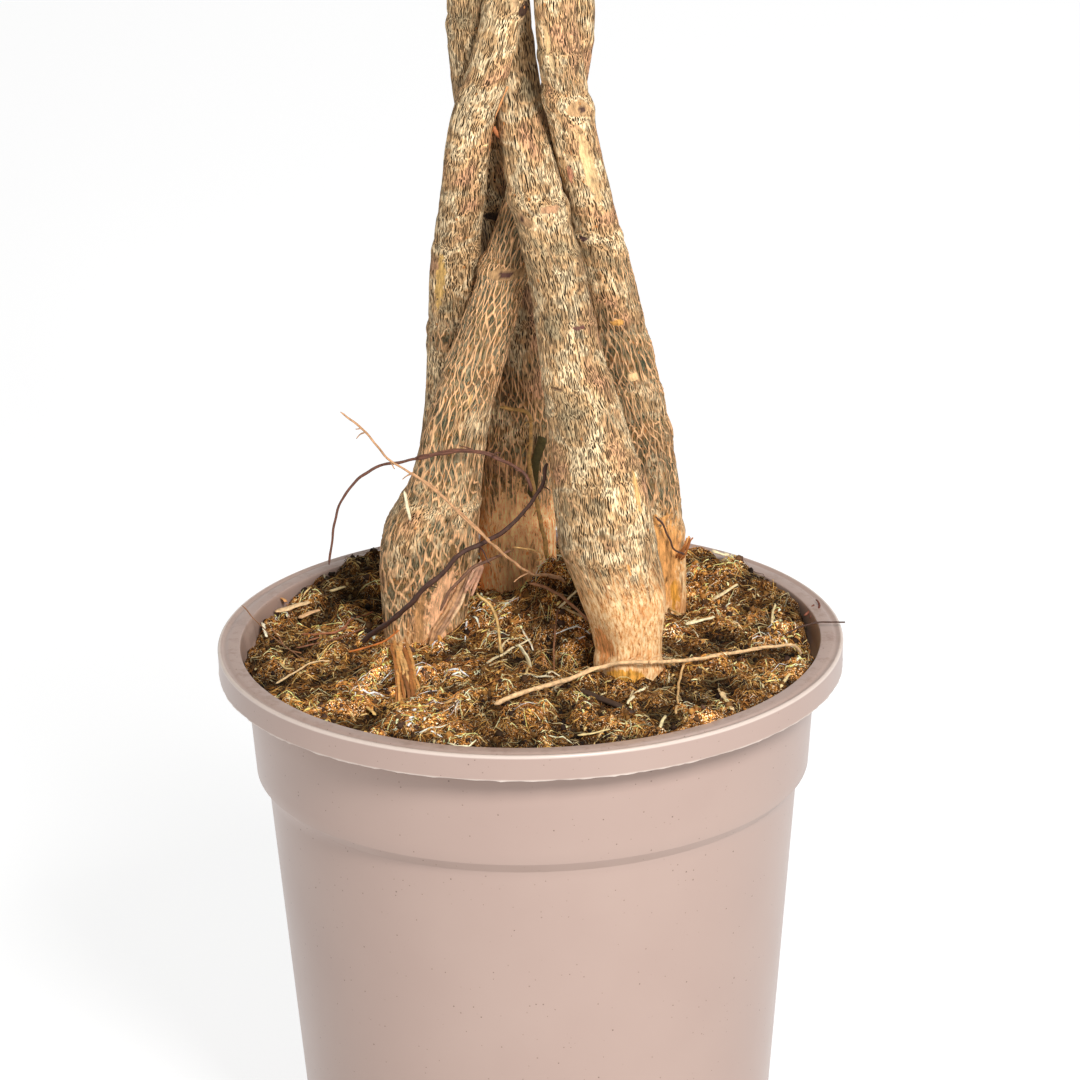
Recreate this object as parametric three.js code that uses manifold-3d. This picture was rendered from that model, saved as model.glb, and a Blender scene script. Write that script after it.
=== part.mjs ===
import * as THREE from 'three';
import { mergeVertices } from 'three/addons/utils/BufferGeometryUtils.js';
import Module from 'manifold-3d';

const wasm = await Module();
wasm.setup();

// A potted money tree: five plaited trunks in a plastic nursery pot, with green shoots
// and palmate leaves on top. Millimetres, +Z up, origin at the middle of the pot's underside.

// Driving dimensions
const potHeight = 220;
const rimRadius = 120;
const rimWidth = 8.8;
const lipDrop = 10;
const lipThickness = 2.4;
const lipDraft = 0.4;
const rimShoulder = 1.4;
const collarRadiusTop = 110.2;
const collarTopDrop = 16;
const flareRadius = 113;
const collarRadiusFoot = 106.2;
const collarDrop = 49.5;
const collarChamfer = 4.6;
const bodyRadiusTop = 101.9;
const bodyTaper = 0.09;
const wall = 2.2;
const baseThickness = 3;
const baseBevel = 1.6;
const drainHoles = 6;
const drainRadius = 6;
const drainCircle = 52;
const drainSides = 8;
const potSides = 36;

const fit = 0.35;
const soilRings = [10, 26, 44, 62, 80, 96];
const soilEdge = -4.5;
const soilGap = 0.455;
const soilEdgeDepth = 3;
const moundHeight = 9;
const moundSpread = 38;
const moundBack = 8;
const soilTilt = [0.012, -0.016];
const rippleHeight = 0.9;
const rippleSteps = [17, 14];

const trunkSides = 8;
const trunkFoot = -62;
const lowRings = [-34, -10, 8, 20, 32, 46, 58, 72, 92, 116, 140, 162, 184];
const highRingStart = 206;
const highRingStep = 22;
const topRingRoom = 8;
const braidStart = 300;
const braidLead = 20;
const braidStep = 26;
const halfTurn = 230;
const braidWide = 2.75;
const braidDeep = 1.88;
const trunkRadiusLow = 7.8;
const trunkRadiusHigh = 6.3;
const braidTop = 560;
const plaitFrom = 262;

const rootSides = 5;

const shootSides = 8;
const shootRadius = 4.7;
const shootTipRadius = 2.6;
const shootShares = [0, 0.06, 0.2, 0.4, 0.6, 0.8, 1];
const shootBend = [0.6, 0.7];
const shootSlack = 0.1;

const bladeThickness = 1.6;
const bladeWidthShare = 0.31;
const bladeSkew = 1.4;
const bladeFold = 14;
const stalkSides = 5;
const stalkFootRadius = 2.4;
const stalkShares = [0, 0.08, 0.3, 0.62, 0.92, 1];
const stalkRadii = [stalkFootRadius, 1.9, 1.5, 1.5, 1.9, 2.6];
const stalkDroop = 24;
const seatShare = 0.93;
const hubReach = 4;
const hubHeight = 1.6;
const leafPitchShare = 0.42;
const leafletGaps = { 5: 54, 7: 45 };
const fiveFromShare = 0.66;
const firstLeafShare = 0.26;
const leafShareSpan = 0.71;
const outerLeafletLoss = 0.4;
const leafletDroop = [0.14, -0.36];
const leafletSlack = 0.1;
const bladeLeastHalf = 1.2;
const bladeShares = [0.3, 0.58, 0.84];
const roomRound = 5;
const goldenTurn = 137.5;
const triesPerLeaf = 400;
const looserAfter = 150;
const turnPlay = 110;
const risePlay = 24;
const seed = 2468;

// Materials
const materials = {
  pot: new THREE.MeshStandardMaterial({ color: 0xa9948c, roughness: 0.42, metalness: 0 }),
  soil: new THREE.MeshStandardMaterial({ color: 0x4a3422, roughness: 0.95, metalness: 0 }),
  bark: new THREE.MeshStandardMaterial({ color: 0x9c8768, roughness: 0.85, metalness: 0 }),
  root: new THREE.MeshStandardMaterial({ color: 0xb58a5c, roughness: 0.8, metalness: 0 }),
  rootDark: new THREE.MeshStandardMaterial({ color: 0x5a3a2a, roughness: 0.8, metalness: 0 }),
  shoot: new THREE.MeshStandardMaterial({ color: 0x6d7c3f, roughness: 0.6, metalness: 0 }),
  leaf: new THREE.MeshStandardMaterial({ color: 0x3f7a2c, roughness: 0.4, metalness: 0 }),
};

// Small helpers
const degrees = Math.PI / 180;
const group = new THREE.Group();
group.name = 'potted_money_tree';

function addMesh(name, solid, material) {
  const { vertProperties, triVerts, numProp } = solid.getMesh();
  const geometry = new THREE.BufferGeometry();
  const places = new Float32Array((vertProperties.length / numProp) * 3);
  for (let i = 0; i < places.length / 3; i++) {
    for (let k = 0; k < 3; k++) {
      places[3 * i + k] = vertProperties[numProp * i + k];
    }
  }
  geometry.setAttribute('position', new THREE.BufferAttribute(places, 3));
  geometry.setIndex(new THREE.BufferAttribute(new Uint32Array(triVerts), 1));
  geometry.computeVertexNormals();
  const mesh = new THREE.Mesh(geometry, material);
  mesh.name = name;
  group.add(mesh);
}

function solidOf(geometry) {
  geometry.deleteAttribute('normal');
  geometry.deleteAttribute('uv');
  const whole = mergeVertices(geometry, 1e-4);
  const mesh = new wasm.Mesh({
    numProp: 3,
    vertProperties: new Float32Array(whole.attributes.position.array),
    triVerts: new Uint32Array(whole.index.array),
  });
  return new wasm.Manifold(mesh);
}

// Closes a stack of rings, each with the same number of points, with a fan at each end.
// The rings run anticlockwise as seen from the far end of the stack.
function stack(rings) {
  const count = rings[0].length;
  const places = [];
  const faces = [];
  for (const ring of rings) {
    for (const point of ring) {
      places.push(point.x, point.y, point.z);
    }
  }
  for (let i = 0; i + 1 < rings.length; i++) {
    for (let k = 0; k < count; k++) {
      const a = i * count + k;
      const b = i * count + ((k + 1) % count);
      faces.push(a, b, b + count, a, b + count, a + count);
    }
  }
  const last = (rings.length - 1) * count;
  for (let k = 1; k + 1 < count; k++) {
    faces.push(0, k + 1, k);
    faces.push(last, last + k, last + k + 1);
  }
  const geometry = new THREE.BufferGeometry();
  geometry.setAttribute('position', new THREE.Float32BufferAttribute(places, 3));
  geometry.setIndex(faces);
  return solidOf(geometry);
}

// A tapering round limb along a list of points, one radius for each point.
function limb(points, radii, sides) {
  const rings = [];
  let side = new THREE.Vector3(1, 0, 0);
  for (let i = 0; i < points.length; i++) {
    const before = points[Math.max(i - 1, 0)];
    const after = points[Math.min(i + 1, points.length - 1)];
    const along = after.clone().sub(before).normalize();
    if (i === 0 && Math.abs(along.x) > 0.8) {
      side = new THREE.Vector3(0, 0, -1);
    }
    side = side.clone().addScaledVector(along, -side.dot(along)).normalize();
    const other = along.clone().cross(side);
    const ring = [];
    for (let k = 0; k < sides; k++) {
      const angle = (2 * Math.PI * k) / sides;
      const point = points[i].clone();
      point.addScaledVector(side, radii[i] * Math.cos(angle));
      point.addScaledVector(other, radii[i] * Math.sin(angle));
      ring.push(point);
    }
    rings.push(ring);
  }
  return stack(rings);
}

// A cubic through rows of numbers whose first entry is the station.
function between(rows, station) {
  let i = 0;
  while (i + 2 < rows.length && rows[i + 1][0] <= station) {
    i++;
  }
  const slope = (k, column) => {
    const low = Math.max(k - 1, 0);
    const high = Math.min(k + 1, rows.length - 1);
    return (rows[high][column] - rows[low][column]) / (rows[high][0] - rows[low][0]);
  };
  const span = rows[i + 1][0] - rows[i][0];
  const t = (station - rows[i][0]) / span;
  const result = [];
  for (let column = 1; column < rows[i].length; column++) {
    const a = rows[i][column];
    const b = rows[i + 1][column];
    const slopeA = slope(i, column) * span;
    const slopeB = slope(i + 1, column) * span;
    const cubic = (2 * t ** 3 - 3 * t ** 2 + 1) * a + (t ** 3 - 2 * t ** 2 + t) * slopeA
      + (3 * t ** 2 - 2 * t ** 3) * b + (t ** 3 - t ** 2) * slopeB;
    result.push(cubic);
  }
  return result;
}

// Pot: a turned profile with a lip, a collar and a tapering body, and drain holes in the base
const bodyTopDrop = collarDrop + collarChamfer;
const bodyRadiusFoot = bodyRadiusTop - bodyTaper * (potHeight - bodyTopDrop);

function innerRadius(z) {
  const collarFoot = potHeight - collarDrop;
  const bodyTop = potHeight - bodyTopDrop;
  if (z <= bodyTop) {
    return bodyRadiusFoot - wall + bodyTaper * z;
  }
  if (z <= collarFoot) {
    const share = (z - bodyTop) / collarChamfer;
    return bodyRadiusTop - wall + share * (collarRadiusFoot - bodyRadiusTop);
  }
  const share = (z - collarFoot) / collarDrop;
  return collarRadiusFoot - wall + share * (rimRadius - rimWidth - collarRadiusFoot + wall);
}

function potSolid() {
  const top = potHeight;
  const profile = [
    [0, 0],
    [bodyRadiusFoot - baseBevel, 0],
    [bodyRadiusFoot + bodyTaper * baseBevel, baseBevel],
    [bodyRadiusTop, top - bodyTopDrop],
    [collarRadiusFoot, top - collarDrop],
    [collarRadiusTop, top - collarTopDrop],
    [flareRadius, top - lipThickness],
    [rimRadius - lipThickness, top - lipThickness],
    [rimRadius - lipThickness - lipDraft, top - lipDrop],
    [rimRadius - lipDraft, top - lipDrop],
    [rimRadius, top - rimShoulder],
    [rimRadius - rimShoulder, top],
    [rimRadius - rimWidth, top],
    [innerRadius(top - collarDrop), top - collarDrop],
    [innerRadius(top - bodyTopDrop), top - bodyTopDrop],
    [innerRadius(baseThickness), baseThickness],
    [0, baseThickness],
  ];
  const points = profile.map(([r, z]) => new THREE.Vector2(r, z));
  const turned = new THREE.LatheGeometry(points, potSides);
  turned.rotateX(Math.PI / 2);
  let pot = solidOf(turned);
  for (let i = 0; i < drainHoles; i++) {
    const angle = (2 * Math.PI * (i + 0.5)) / drainHoles;
    const hole = new THREE.CylinderGeometry(drainRadius, drainRadius, 4 * baseThickness, drainSides);
    hole.rotateX(Math.PI / 2);
    hole.translate(drainCircle * Math.cos(angle), drainCircle * Math.sin(angle), 0);
    pot = pot.subtract(solidOf(hole));
  }
  return pot;
}

// Trunks: [height above the rim, x, y, radius] up to where the regular plait takes over.
// turn is the place of the trunk in the plait at the height where the plait is counted from.
const trunks = [
  {
    place: 'left',
    turn: -28,
    top: 532,
    rows: [
      [-62, -40, 14, 8], [-30, -41, 13, 12], [-12, -41, 12, 15], [10, -41, 12, 16.5],
      [30, -39, 10, 18.6], [46, -37, 7, 18], [62, -32, 4, 14], [85, -27, 1, 12],
      [110, -20, 0, 11.2], [140, -10, 1, 9.8], [172, 1, 5.5, 9.2], [205, 13, 10.5, 8.8],
      [235, 19, 12, 8.4], [262, 20, 12, 8], [290, 20, 3, 7.8],
    ],
  },
  {
    place: 'front',
    turn: 116,
    top: 550,
    rows: [
      [-62, 36, -34, 7], [-30, 37, -35, 11], [-12, 37, -36, 13.5], [12, 37, -36, 12.8],
      [32, 35, -35, 16.5], [50, 30, -34, 18.2], [72, 27, -32, 17.8], [96, 23, -29, 14.6],
      [125, 17, -25, 12], [155, 12, -21, 10.7], [180, 6, -15, 10.5], [205, 1, -5, 9.2],
      [235, -2, 10, 8.2], [262, -4, 13, 8], [290, -12, 13, 7.8],
    ],
  },
  {
    place: 'right',
    turn: 44,
    top: 533,
    rows: [
      [-62, 45, 44, 8], [-30, 45, 46, 12], [-12, 45, 46, 15], [20, 45, 43, 15.5],
      [50, 45, 38, 13.2], [80, 42, 30, 12.2], [110, 37, 21, 11.2], [140, 32, 10, 10.2],
      [172, 26, -2, 9.1], [205, 20, -10, 8.6], [235, 15, -13, 8.2], [262, 12, -13, 7.8],
      [290, 8, -12, 7.8],
    ],
  },
  {
    place: 'back',
    turn: 188,
    top: 540,
    rows: [
      [-62, -6, 58, 7], [-30, -6, 60, 10], [-12, -6, 60, 12], [20, -6, 56, 11.5],
      [50, -6, 50, 11], [80, -4, 43, 10.6], [110, -4, 36, 10.2], [145, -7, 28, 9.6],
      [180, -12, 21, 9], [210, -16, 13, 8.6], [235, -18.5, 4, 8.3], [262, -18.5, -1, 8],
      [290, -18, -9, 7.8],
    ],
  },
  {
    place: 'back_left',
    turn: -100,
    top: 525,
    rows: [
      [-62, -40, 57, 8], [-30, -40, 58, 11], [-12, -39, 58, 14], [20, -35, 54, 14],
      [50, -31, 46, 12.4], [80, -28, 37, 11], [110, -27, 26, 10], [145, -26, 12, 9.2],
      [180, -22, -1, 8.5], [210, -18, -9, 8.3], [235, -10, -12, 8.1], [262, -2, -6, 7.7],
      [290, 4, 6, 7.7],
    ],
  },
];

// The regular plait: each trunk follows a figure of eight, a fifth of it behind the next.
function plaitRow(turn, height) {
  const share = (height - braidStart) / (braidTop - braidStart);
  const radius = trunkRadiusLow + share * (trunkRadiusHigh - trunkRadiusLow);
  const angle = (turn + (180 * (height - plaitFrom)) / halfTurn) * degrees;
  const x = braidWide * radius * Math.cos(angle);
  const y = -braidDeep * radius * Math.sin(2 * angle);
  return [height, x, y, radius];
}

for (const trunk of trunks) {
  for (let height = braidStart + braidLead; height < trunk.top + braidStep; height += braidStep) {
    trunk.rows.push(plaitRow(trunk.turn, height));
  }
}

function trunkAt(trunk, height) {
  const [x, y, radius] = between(trunk.rows, height);
  return { x, y, radius };
}

function trunkSolid(trunk, extra) {
  const heights = [trunkFoot - extra, ...lowRings];
  for (let height = highRingStart; height < trunk.top - topRingRoom; height += highRingStep) {
    heights.push(height);
  }
  heights.push(trunk.top);
  const rings = heights.map((height) => {
    const { x, y, radius } = trunkAt(trunk, Math.max(height, trunkFoot));
    const ring = [];
    for (let k = 0; k < trunkSides; k++) {
      const angle = (2 * Math.PI * (k + 0.5)) / trunkSides;
      const r = radius + extra;
      ring.push(new THREE.Vector3(x + r * Math.cos(angle), y + r * Math.sin(angle), potHeight + height));
    }
    return ring;
  });
  return stack(rings);
}

const trunkSolids = trunks.map((trunk) => trunkSolid(trunk, 0));

// Loose roots: routes as [x, y, height above the rim]
function route(rows) {
  const points = rows.map(([x, y, height]) => new THREE.Vector3(x, y, potHeight + height));
  return new THREE.CatmullRomCurve3(points, false, 'centripetal');
}

function rootSolid(rows, radiusStart, radiusEnd, steps, extra) {
  const points = route(rows).getSpacedPoints(steps);
  const radii = points.map((point, i) => radiusStart + (i / steps) * (radiusEnd - radiusStart) + extra);
  points[steps].z -= extra;
  return limb(points, radii, rootSides);
}

const palePath = [
  [-70, -18, 100], [-61, -18, 92], [-53, -19, 82], [-44, -19, 75], [-36, -19, 69],
  [-27, -20, 60], [-20, -22, 54], [-15, -24, 49], [-9, -20, 42], [0, -12, 31.5],
  [7, -6, 28], [12, 0, 24], [17, 8, 16], [19, 14, 6], [20, 18, -6],
];
const redPath = [
  [-76, -14, 40], [-71, -14, 63], [-61, -14, 75], [-53, -14, 79], [-42, -14, 81],
  [-30, -15, 84], [-23, -16, 84], [-15, -17, 82], [-8, -18, 79], [-3, -20, 77], [1.5, -21, 68],
];
const brownPath = [
  [5, -25, 80], [1.5, -22, 68], [-6, -20, 56], [-13, -19, 48.5], [-20, -19, 45],
  [-27, -20, 42], [-33, -20, 34.5], [-40, -20, 29], [-46, -17, 21], [-54, -9, 11],
  [-62, 0, 2], [-68, 6, -6], [-71, 10, -14],
];
const strawPath = [
  [-11, 22, 89], [-7, 22, 88], [-2, 21, 88], [1, 21, 84], [0.5, 22, 75],
  [1, 22, 62], [4, 23, 44], [7, 25, 26], [9, 26, 8], [10, 26, -10],
];
const longPath = [
  [-12, -60, -8], [-6, -58, -3], [6, -53, 0], [17, -51, 4], [27, -51, 8], [36, -51.5, 9.5],
  [44, -50, 9], [61, -38, 5], [76, -24, 2], [90, -14, 0], [101, -10, -1], [104, -8, -8],
];
const roots = [
  { name: 'root_pale', material: materials.root, parts: [[palePath, 0.9, 1.4, 22]] },
  {
    name: 'root_dark',
    material: materials.rootDark,
    parts: [[redPath, 0.8, 1.3, 16], [brownPath, 1.6, 2, 18]],
  },
  { name: 'root_straw', material: materials.root, parts: [[strawPath, 1, 1.5, 14]] },
  { name: 'root_long', material: materials.root, parts: [[longPath, 1.2, 1.5, 18]] },
];

function fusedRoot(root, extra) {
  const pieces = root.parts.map(([rows, start, end, steps]) => rootSolid(rows, start, end, steps, extra));
  return pieces.reduce((whole, piece) => whole.add(piece));
}

// Soil: fills the pot, with a low mound round the trunks and plain holes for all that stands in it
function soilTop(x, y) {
  const distance = x ** 2 + (y - moundBack) ** 2;
  const mound = moundHeight * Math.exp(-distance / (2 * moundSpread ** 2));
  const slope = soilTilt[0] * x + soilTilt[1] * y;
  const ripple = rippleHeight * Math.sin(x / rippleSteps[0] + 1) * Math.sin(y / rippleSteps[1]);
  return potHeight + soilEdge + mound + slope + ripple;
}

function soilSolid() {
  const rings = [];
  const wallHeights = [baseThickness + fit, potHeight - bodyTopDrop, potHeight - collarDrop];
  const ringAt = (radius, heightAt) => {
    const ring = [];
    for (let k = 0; k < potSides; k++) {
      const angle = (2 * Math.PI * k) / potSides;
      const x = radius * Math.cos(angle);
      const y = radius * Math.sin(angle);
      ring.push(new THREE.Vector3(x, y, heightAt(x, y)));
    }
    return ring;
  };
  for (const z of wallHeights) {
    rings.push(ringAt(innerRadius(z) - soilGap, () => z));
  }
  rings.push(ringAt(innerRadius(potHeight + soilEdge - soilEdgeDepth) - soilGap, soilTop));
  for (const radius of soilRings.toReversed()) {
    rings.push(ringAt(radius, soilTop));
  }
  let soil = stack(rings);
  for (const trunk of trunks) {
    soil = soil.subtract(trunkSolid(trunk, fit));
  }
  for (const root of roots) {
    soil = soil.subtract(fusedRoot(root, fit));
  }
  const pieces = soil.decompose();
  return pieces.reduce((best, piece) => (piece.volume() > best.volume() ? piece : best));
}

// Shoots: one green stem on the cut top of each trunk, leaning out as it rises
const shoots = [
  { place: 'left', turn: 190, lean: 0.28, length: 250, leaves: 6 },
  { place: 'front', turn: 20, lean: 0.26, length: 270, leaves: 6 },
  { place: 'right', turn: 262, lean: 0.08, length: 310, leaves: 8 },
  { place: 'back', turn: -55, lean: 0.29, length: 245, leaves: 6 },
  { place: 'back_left', turn: 118, lean: 0.3, length: 240, leaves: 6 },
];

function shootPoint(shoot, trunk, share) {
  const foot = trunkAt(trunk, trunk.top);
  const out = shoot.length * shoot.lean * (shootBend[0] * share + shootBend[1] * share ** 2);
  const up = shoot.length * (share - shootSlack * share ** 2);
  const x = foot.x + out * Math.cos(shoot.turn * degrees);
  const y = foot.y + out * Math.sin(shoot.turn * degrees);
  return new THREE.Vector3(x, y, potHeight + trunk.top + fit + up);
}

function shootSolid(shoot, trunk, extra) {
  const points = shootShares.map((share) => shootPoint(shoot, trunk, share));
  points[1].x = points[0].x;
  points[1].y = points[0].y;
  const radii = shootShares.map((share) => shootRadius + share * (shootTipRadius - shootRadius) + extra);
  return limb(points, radii, shootSides);
}

// Leaves: a stalk, a hub and leaflets that spread from it like the ribs of an umbrella
function drawer(start) {
  let state = start;
  return () => {
    state = (state * 16807) % 2147483647;
    return state / 2147483647;
  };
}

const draw = drawer(seed);

function leafPlan(shoot, trunk, number, tries) {
  const loose = 1 + tries / looserAfter;
  const share = firstLeafShare + (leafShareSpan * number) / (shoot.leaves - 1);
  const turn = shoot.turn + goldenTurn * number + turnPlay * loose * (draw() - 0.5);
  const rise = 14 + 50 * share + risePlay * loose * (draw() - 0.5);
  const stalkLength = 178 - 72 * share + 50 * (draw() - 0.5);
  const leafletLength = 152 - 42 * share + 18 * (draw() - 0.5);
  const roll = 30 * (draw() - 0.5);
  const leaflets = share < fiveFromShare ? 7 : 5;
  const foot = shootPoint(shoot, trunk, share);
  const stem = foot.clone().sub(shootPoint(shoot, trunk, share - 0.02)).normalize();
  const stemRadius = shootRadius + share * (shootTipRadius - shootRadius);
  return { turn, rise, stalkLength, leafletLength, roll, leaflets, foot, stem, stemRadius };
}

function heading(turn, rise) {
  const flat = Math.cos(rise * degrees);
  const x = flat * Math.cos(turn * degrees);
  const y = flat * Math.sin(turn * degrees);
  return new THREE.Vector3(x, y, Math.sin(rise * degrees));
}

function stalkPoint(plan, share) {
  const start = heading(plan.turn, plan.rise);
  const end = heading(plan.turn, plan.rise - stalkDroop);
  const outward = heading(plan.turn, 0);
  outward.addScaledVector(plan.stem, -outward.dot(plan.stem)).normalize();
  const skew = Math.sqrt(1 - start.dot(outward) ** 2);
  const point = plan.foot.clone();
  point.addScaledVector(outward, seatShare * (plan.stemRadius + stalkFootRadius * skew) + 0.5 * fit);
  point.addScaledVector(start, plan.stalkLength * (share - 0.5 * share ** 2));
  point.addScaledVector(end, plan.stalkLength * 0.5 * share ** 2);
  return point;
}

function leafAxes(plan) {
  const pitch = -(90 - (plan.rise - stalkDroop)) * leafPitchShare;
  const out = heading(plan.turn, pitch);
  const level = new THREE.Vector3(-Math.sin(plan.turn * degrees), Math.cos(plan.turn * degrees), 0);
  const up = out.clone().cross(level);
  const side = level.clone().multiplyScalar(Math.cos(plan.roll * degrees));
  side.addScaledVector(up, Math.sin(plan.roll * degrees));
  return { out, side, up: out.clone().cross(side) };
}

function leafletAngle(plan, index) {
  return (index - (plan.leaflets - 1) / 2) * leafletGaps[plan.leaflets] * degrees;
}

function leafletLength(plan, index) {
  const middle = (plan.leaflets - 1) / 2;
  const away = Math.abs(index - middle) / middle;
  return plan.leafletLength * (1 - outerLeafletLoss * away ** 1.6);
}

function leafletPoint(plan, axes, index, share, across, lift) {
  const angle = leafletAngle(plan, index);
  const length = leafletLength(plan, index);
  const along = axes.out.clone().multiplyScalar(Math.cos(angle));
  along.addScaledVector(axes.side, Math.sin(angle));
  const cross = axes.up.clone().cross(along);
  const point = stalkPoint(plan, 1);
  const droop = leafletDroop[0] * share + leafletDroop[1] * share ** 2;
  point.addScaledVector(along, length * (share - leafletSlack * share ** 2));
  point.addScaledVector(axes.up, length * droop + lift);
  point.addScaledVector(cross, across);
  point.addScaledVector(axes.up, Math.abs(across) * Math.tan(bladeFold * degrees));
  return point;
}

function bladeHalfWidth(plan, index, share) {
  const full = (leafletLength(plan, index) * bladeWidthShare) / 2;
  return bladeLeastHalf + full * Math.sin(Math.PI * share ** bladeSkew) ** 0.8;
}

// All the leaflets as one thin body: they meet in a low double cone at the hub.
function bladesSolid(plan, thickness) {
  const axes = leafAxes(plan);
  const hub = stalkPoint(plan, 1);
  const places = [];
  const faces = [];
  const put = (point) => places.push(point.x, point.y, point.z) / 3 - 1;
  const top = put(hub.clone().addScaledVector(axes.up, hubHeight + thickness / 2));
  const foot = put(hub.clone().addScaledVector(axes.up, -hubHeight - thickness / 2));
  const seams = [];
  for (let index = 0; index <= plan.leaflets; index++) {
    const angle = leafletAngle(plan, index - 0.5);
    const seam = hub.clone().addScaledVector(axes.out, hubReach * Math.cos(angle));
    seam.addScaledVector(axes.side, hubReach * Math.sin(angle));
    seams.push(put(seam));
  }
  for (let index = 0; index < plan.leaflets; index++) {
    const start = hubReach / leafletLength(plan, index);
    let over = put(leafletPoint(plan, axes, index, start, 0, thickness / 2));
    let under = put(leafletPoint(plan, axes, index, start, 0, -thickness / 2));
    let left = seams[index];
    let right = seams[index + 1];
    faces.push(top, left, over, top, over, right);
    faces.push(foot, under, left, foot, right, under);
    for (const share of bladeShares) {
      const half = bladeHalfWidth(plan, index, share);
      const nextLeft = put(leafletPoint(plan, axes, index, share, -half, 0));
      const nextRight = put(leafletPoint(plan, axes, index, share, half, 0));
      const nextOver = put(leafletPoint(plan, axes, index, share, 0, thickness / 2));
      const nextUnder = put(leafletPoint(plan, axes, index, share, 0, -thickness / 2));
      faces.push(left, nextUnder, nextLeft, left, under, nextUnder);
      faces.push(left, nextLeft, nextOver, left, nextOver, over);
      faces.push(right, nextRight, nextUnder, right, nextUnder, under);
      faces.push(right, nextOver, nextRight, right, over, nextOver);
      [left, right, over, under] = [nextLeft, nextRight, nextOver, nextUnder];
    }
    const tip = put(leafletPoint(plan, axes, index, 1, 0, 0));
    faces.push(left, under, tip, under, right, tip, right, over, tip, over, left, tip);
  }
  faces.push(top, seams[plan.leaflets], seams[0], foot, seams[0], seams[plan.leaflets]);
  const geometry = new THREE.BufferGeometry();
  geometry.setAttribute('position', new THREE.Float32BufferAttribute(places, 3));
  geometry.setIndex(faces);
  return solidOf(geometry);
}

function stalkSolid(plan, extra) {
  const radii = stalkRadii.map((radius) => radius + extra);
  const points = stalkShares.map((share) => stalkPoint(plan, share));
  return limb(points, radii, stalkSides);
}

function boxesMeet(a, b) {
  const one = a.boundingBox();
  const two = b.boundingBox();
  return [0, 1, 2].every((k) => one.min[k] <= two.max[k] && two.min[k] <= one.max[k]);
}

function clear(piece, others) {
  return others.every((other) => !boxesMeet(piece, other) || piece.intersect(other).volume() < 1e-6);
}

function placeLeaf(shoot, trunk, number, ownShoot, others) {
  for (let tries = 0; tries < triesPerLeaf; tries++) {
    const plan = leafPlan(shoot, trunk, number, tries);
    const free = clear(stalkSolid(plan, roomRound / 2), others)
      && clear(stalkSolid(plan, 0), [ownShoot])
      && clear(bladesSolid(plan, bladeThickness + roomRound), [...others, ownShoot]);
    if (free) {
      return stalkSolid(plan, 0).add(bladesSolid(plan, bladeThickness));
    }
  }
  throw new Error(`no room for leaf ${number} of the ${shoot.place} shoot`);
}

addMesh('pot', potSolid(), materials.pot);
addMesh('soil', soilSolid(), materials.soil);
trunks.forEach((trunk, i) => addMesh(`trunk_${trunk.place}`, trunkSolids[i], materials.bark));
for (const root of roots) {
  addMesh(root.name, fusedRoot(root, 0), root.material);
}

const shootSolids = shoots.map((shoot, i) => shootSolid(shoot, trunks[i], 0));
shoots.forEach((shoot, i) => addMesh(`shoot_${shoot.place}`, shootSolids[i], materials.shoot));
const placed = [...trunkSolids, ...shootSolids];
const mostLeaves = Math.max(...shoots.map((shoot) => shoot.leaves));
for (let number = 0; number < mostLeaves; number++) {
  for (const [i, shoot] of shoots.entries()) {
    if (number < shoot.leaves) {
      const others = placed.filter((solid) => solid !== shootSolids[i]);
      const leaf = placeLeaf(shoot, trunks[i], number, shootSolids[i], others);
      placed.push(leaf);
      addMesh(`leaf_${shoot.place}_${number + 1}`, leaf, materials.leaf);
    }
  }
}

export default group;
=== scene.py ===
import math
import random

import bpy
import numpy as np
from mathutils import Matrix, Vector, noise


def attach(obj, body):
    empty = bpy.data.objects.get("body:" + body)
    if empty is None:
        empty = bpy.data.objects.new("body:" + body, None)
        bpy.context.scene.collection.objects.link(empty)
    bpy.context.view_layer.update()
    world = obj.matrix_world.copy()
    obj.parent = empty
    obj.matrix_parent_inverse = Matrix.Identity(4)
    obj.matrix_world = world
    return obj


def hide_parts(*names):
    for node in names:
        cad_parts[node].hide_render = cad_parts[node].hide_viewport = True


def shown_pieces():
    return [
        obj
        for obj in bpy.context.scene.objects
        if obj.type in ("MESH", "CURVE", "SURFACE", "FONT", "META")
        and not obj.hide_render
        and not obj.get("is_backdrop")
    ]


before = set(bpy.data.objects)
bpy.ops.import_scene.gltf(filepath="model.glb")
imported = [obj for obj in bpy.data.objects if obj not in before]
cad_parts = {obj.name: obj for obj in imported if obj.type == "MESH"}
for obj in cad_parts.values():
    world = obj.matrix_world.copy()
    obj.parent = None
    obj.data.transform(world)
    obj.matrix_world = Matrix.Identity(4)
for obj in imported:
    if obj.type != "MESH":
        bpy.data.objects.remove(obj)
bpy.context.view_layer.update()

# A potted money tree: plaited trunks in a nursery pot. Sizes are in millimetres and
# turned to metres where a mesh is made.
mm = 0.001
potHeight = 220.0
print("frame loaded:", len(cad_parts), "nodes")


# Helpers for nodes
def linear(hexColour):
    channels = [int(hexColour[i : i + 2], 16) / 255 for i in (1, 3, 5)]
    return (*(c / 12.92 if c <= 0.04045 else ((c + 0.055) / 1.055) ** 2.4 for c in channels), 1.0)


def socketOf(source):
    return source.outputs[0] if isinstance(source, bpy.types.Node) else source


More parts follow.
